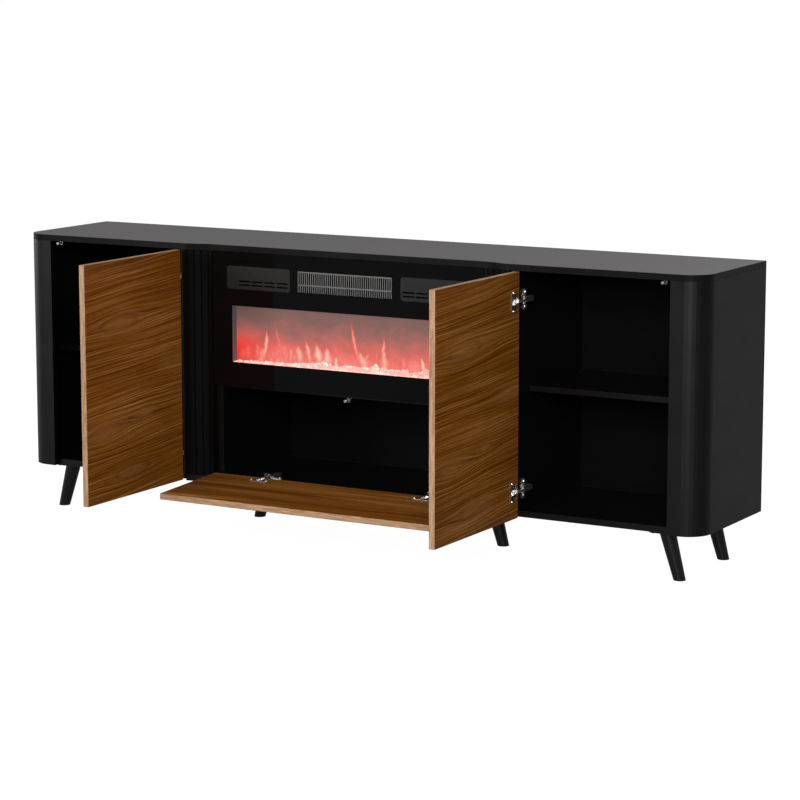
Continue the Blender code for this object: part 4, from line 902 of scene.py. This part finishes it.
def addHingeScrews():
    # the bosses are in the frame; each gets a domed head with a cross recess
    v = screwValues
    flapUp = max((face for face in nodes["flap"].data.polygons if face.normal.z > 0.7), key=lambda f: f.area)
    outwards = {"left": (-1, 0, 0), "right": (1, 0, 0)}
    # start of the name, body that the cup rides on, where the arm's screws face, where the cup's screws face
    hinges = [(f"{side}_door_{level}", f"{side}_door", outward, outward)
              for side, outward in outwards.items() for level in ("upper", "lower")]
    hinges += [(f"flap_{side}", "flap", (0, 0, 1), tuple(flapUp.normal)) for side in ("left", "right")]
    for prefix, body, armOut, cupOut in hinges:
        words = prefix.split("_")
        start = words[0] + "".join(word.capitalize() for word in words[1:])
        for part, outward, boss, carrier in (("arm", armOut, v["armBoss"], "cabinet"),
                                             ("cup", cupOut, None, body)):
            spots = bossSpots(f"{prefix}_hinge_{part}", outward, boss)
            screwRow(v["headRadius"], v["headHeight"], spots, outward,
                     start + part.capitalize() + "Screws", screwSteel, carrier)


def addLegScrews():
    # four heads under each leg's plate
    v = screwValues
    spots = []
    for name, side in legNames:
        low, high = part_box(name)
        half = (high.y - low.y) / 2
        x = high.x - half if side == "left" else low.x + half
        y = (low.y + high.y) / 2
        for signX in (-1, 1):
            for signY in (-1, 1):
                spots.append(Vector((x + signX * v["legSpot"], y + signY * v["legSpot"],
                                     high.z - v["legPlate"])))
    screwRow(v["legRadius"], v["legHeight"], spots, (0, 0, -1), "legScrews", blackScrews, "cabinet")


addHingeScrews()
addLegScrews()
print("stage: screws set")


# Floor, light and camera

stageValues = {
    "floor": (0.10, 0.10, 0.10),
    "floorRoughness": 0.7,
    "floorSpecular": 0.05,
    "floorSize": 900,
    "floorDrop": 0.0005,
    # strength as the camera sees it, and as it lights the cabinet
    "floorSeen": 0.965,
    "floorGlow": 0.14,
    "worldSeen": 1.0,
    "worldGlow": 0.26,
    # metres, degrees, pixels of the picture, and millimetres of the film's width
    "cameraPlace": (3.5496, -5.8750, 1.5080),
    "cameraTurn": 29.797,
    "cameraDown": 9.350,
    "focalPixels": 2730.5,
    "picturePixels": 800,
    "filmWidth": 36.0,
    "lamps": (
        # name, place, aimed at, width, height, watts
        ("topLight", (-0.6, -0.4, 4.6), (0, 0.1, 0.7), 4.5, 2.5, 26),
        ("frontLight", (-4.0, -5.6, 2.2), (0, 0, 0.4), 3.0, 2.4, 190),
        ("cameraLight", (2.6, -4.8, 2.2), (0, 0, 0.4), 2.6, 1.8, 285),
        ("leftLight", (-5.2, 0.4, 1.3), (-1.0, 0.1, 0.4), 1.4, 1.4, 80),
        ("sideLight", (3.4, 5.2, 2.2), (0.9, 0.2, 0.4), 2.0, 2.0, 24),
        ("backLight", (0.9, 6.4, 2.8), (0, 0.3, 0.4), 3.0, 2.0, 150),
    ),
}


def glowSeen(tree, socket, glow, seen):
    # one strength for the camera's own rays, another for all other rays
    cameraRay = addNode(tree, "ShaderNodeLightPath").outputs["Is Camera Ray"]
    tree.links.new(mapRange(tree, cameraRay, 0.0, 1.0, glow, seen), socket)


def addStage():
    # the eye sees floor and background nearly white, while they light the cabinet only dimly
    v = stageValues
    deselectAll()
    bpy.ops.mesh.primitive_plane_add(size=v["floorSize"], location=(0, 0, -v["floorDrop"]))
    floor = bpy.context.object
    floor.name = "floor"
    material, tree, shader = newMaterial("floorPaper", v["floor"], v["floorRoughness"],
                                         Specular_IOR_Level=v["floorSpecular"], Emission_Color=(1, 1, 1, 1))
    glowSeen(tree, shader.inputs["Emission Strength"], v["floorGlow"], v["floorSeen"])
    floor.data.materials.append(material)
    world = bpy.data.worlds.new("studio")
    world.use_nodes = True
    background = world.node_tree.nodes["Background"]
    background.inputs["Color"].default_value = (1, 1, 1, 1)
    glowSeen(world.node_tree, background.inputs["Strength"], v["worldGlow"], v["worldSeen"])
    scene = bpy.context.scene
    scene.world = world
    for name, place, aim, width, height, watts in v["lamps"]:
        data = bpy.data.lights.new(name, "AREA")
        data.shape = "RECTANGLE"
        data.size = width
        data.size_y = height
        data.energy = watts
        lamp = bpy.data.objects.new(name, data)
        scene.collection.objects.link(lamp)
        lamp.location = place
        lamp.rotation_euler = (Vector(aim) - Vector(place)).to_track_quat("-Z", "Y").to_euler()
    data = bpy.data.cameras.new("camera")
    data.sensor_width = v["filmWidth"]
    data.lens = v["focalPixels"] / v["picturePixels"] * v["filmWidth"]
    camera = bpy.data.objects.new("camera", data)
    scene.collection.objects.link(camera)
    camera.location = v["cameraPlace"]
    camera.rotation_euler = (math.radians(90 - v["cameraDown"]), 0, math.radians(v["cameraTurn"]))
    scene.camera = camera
    scene.view_settings.view_transform = "Standard"


addStage()
print("stage: floor, light and camera set")
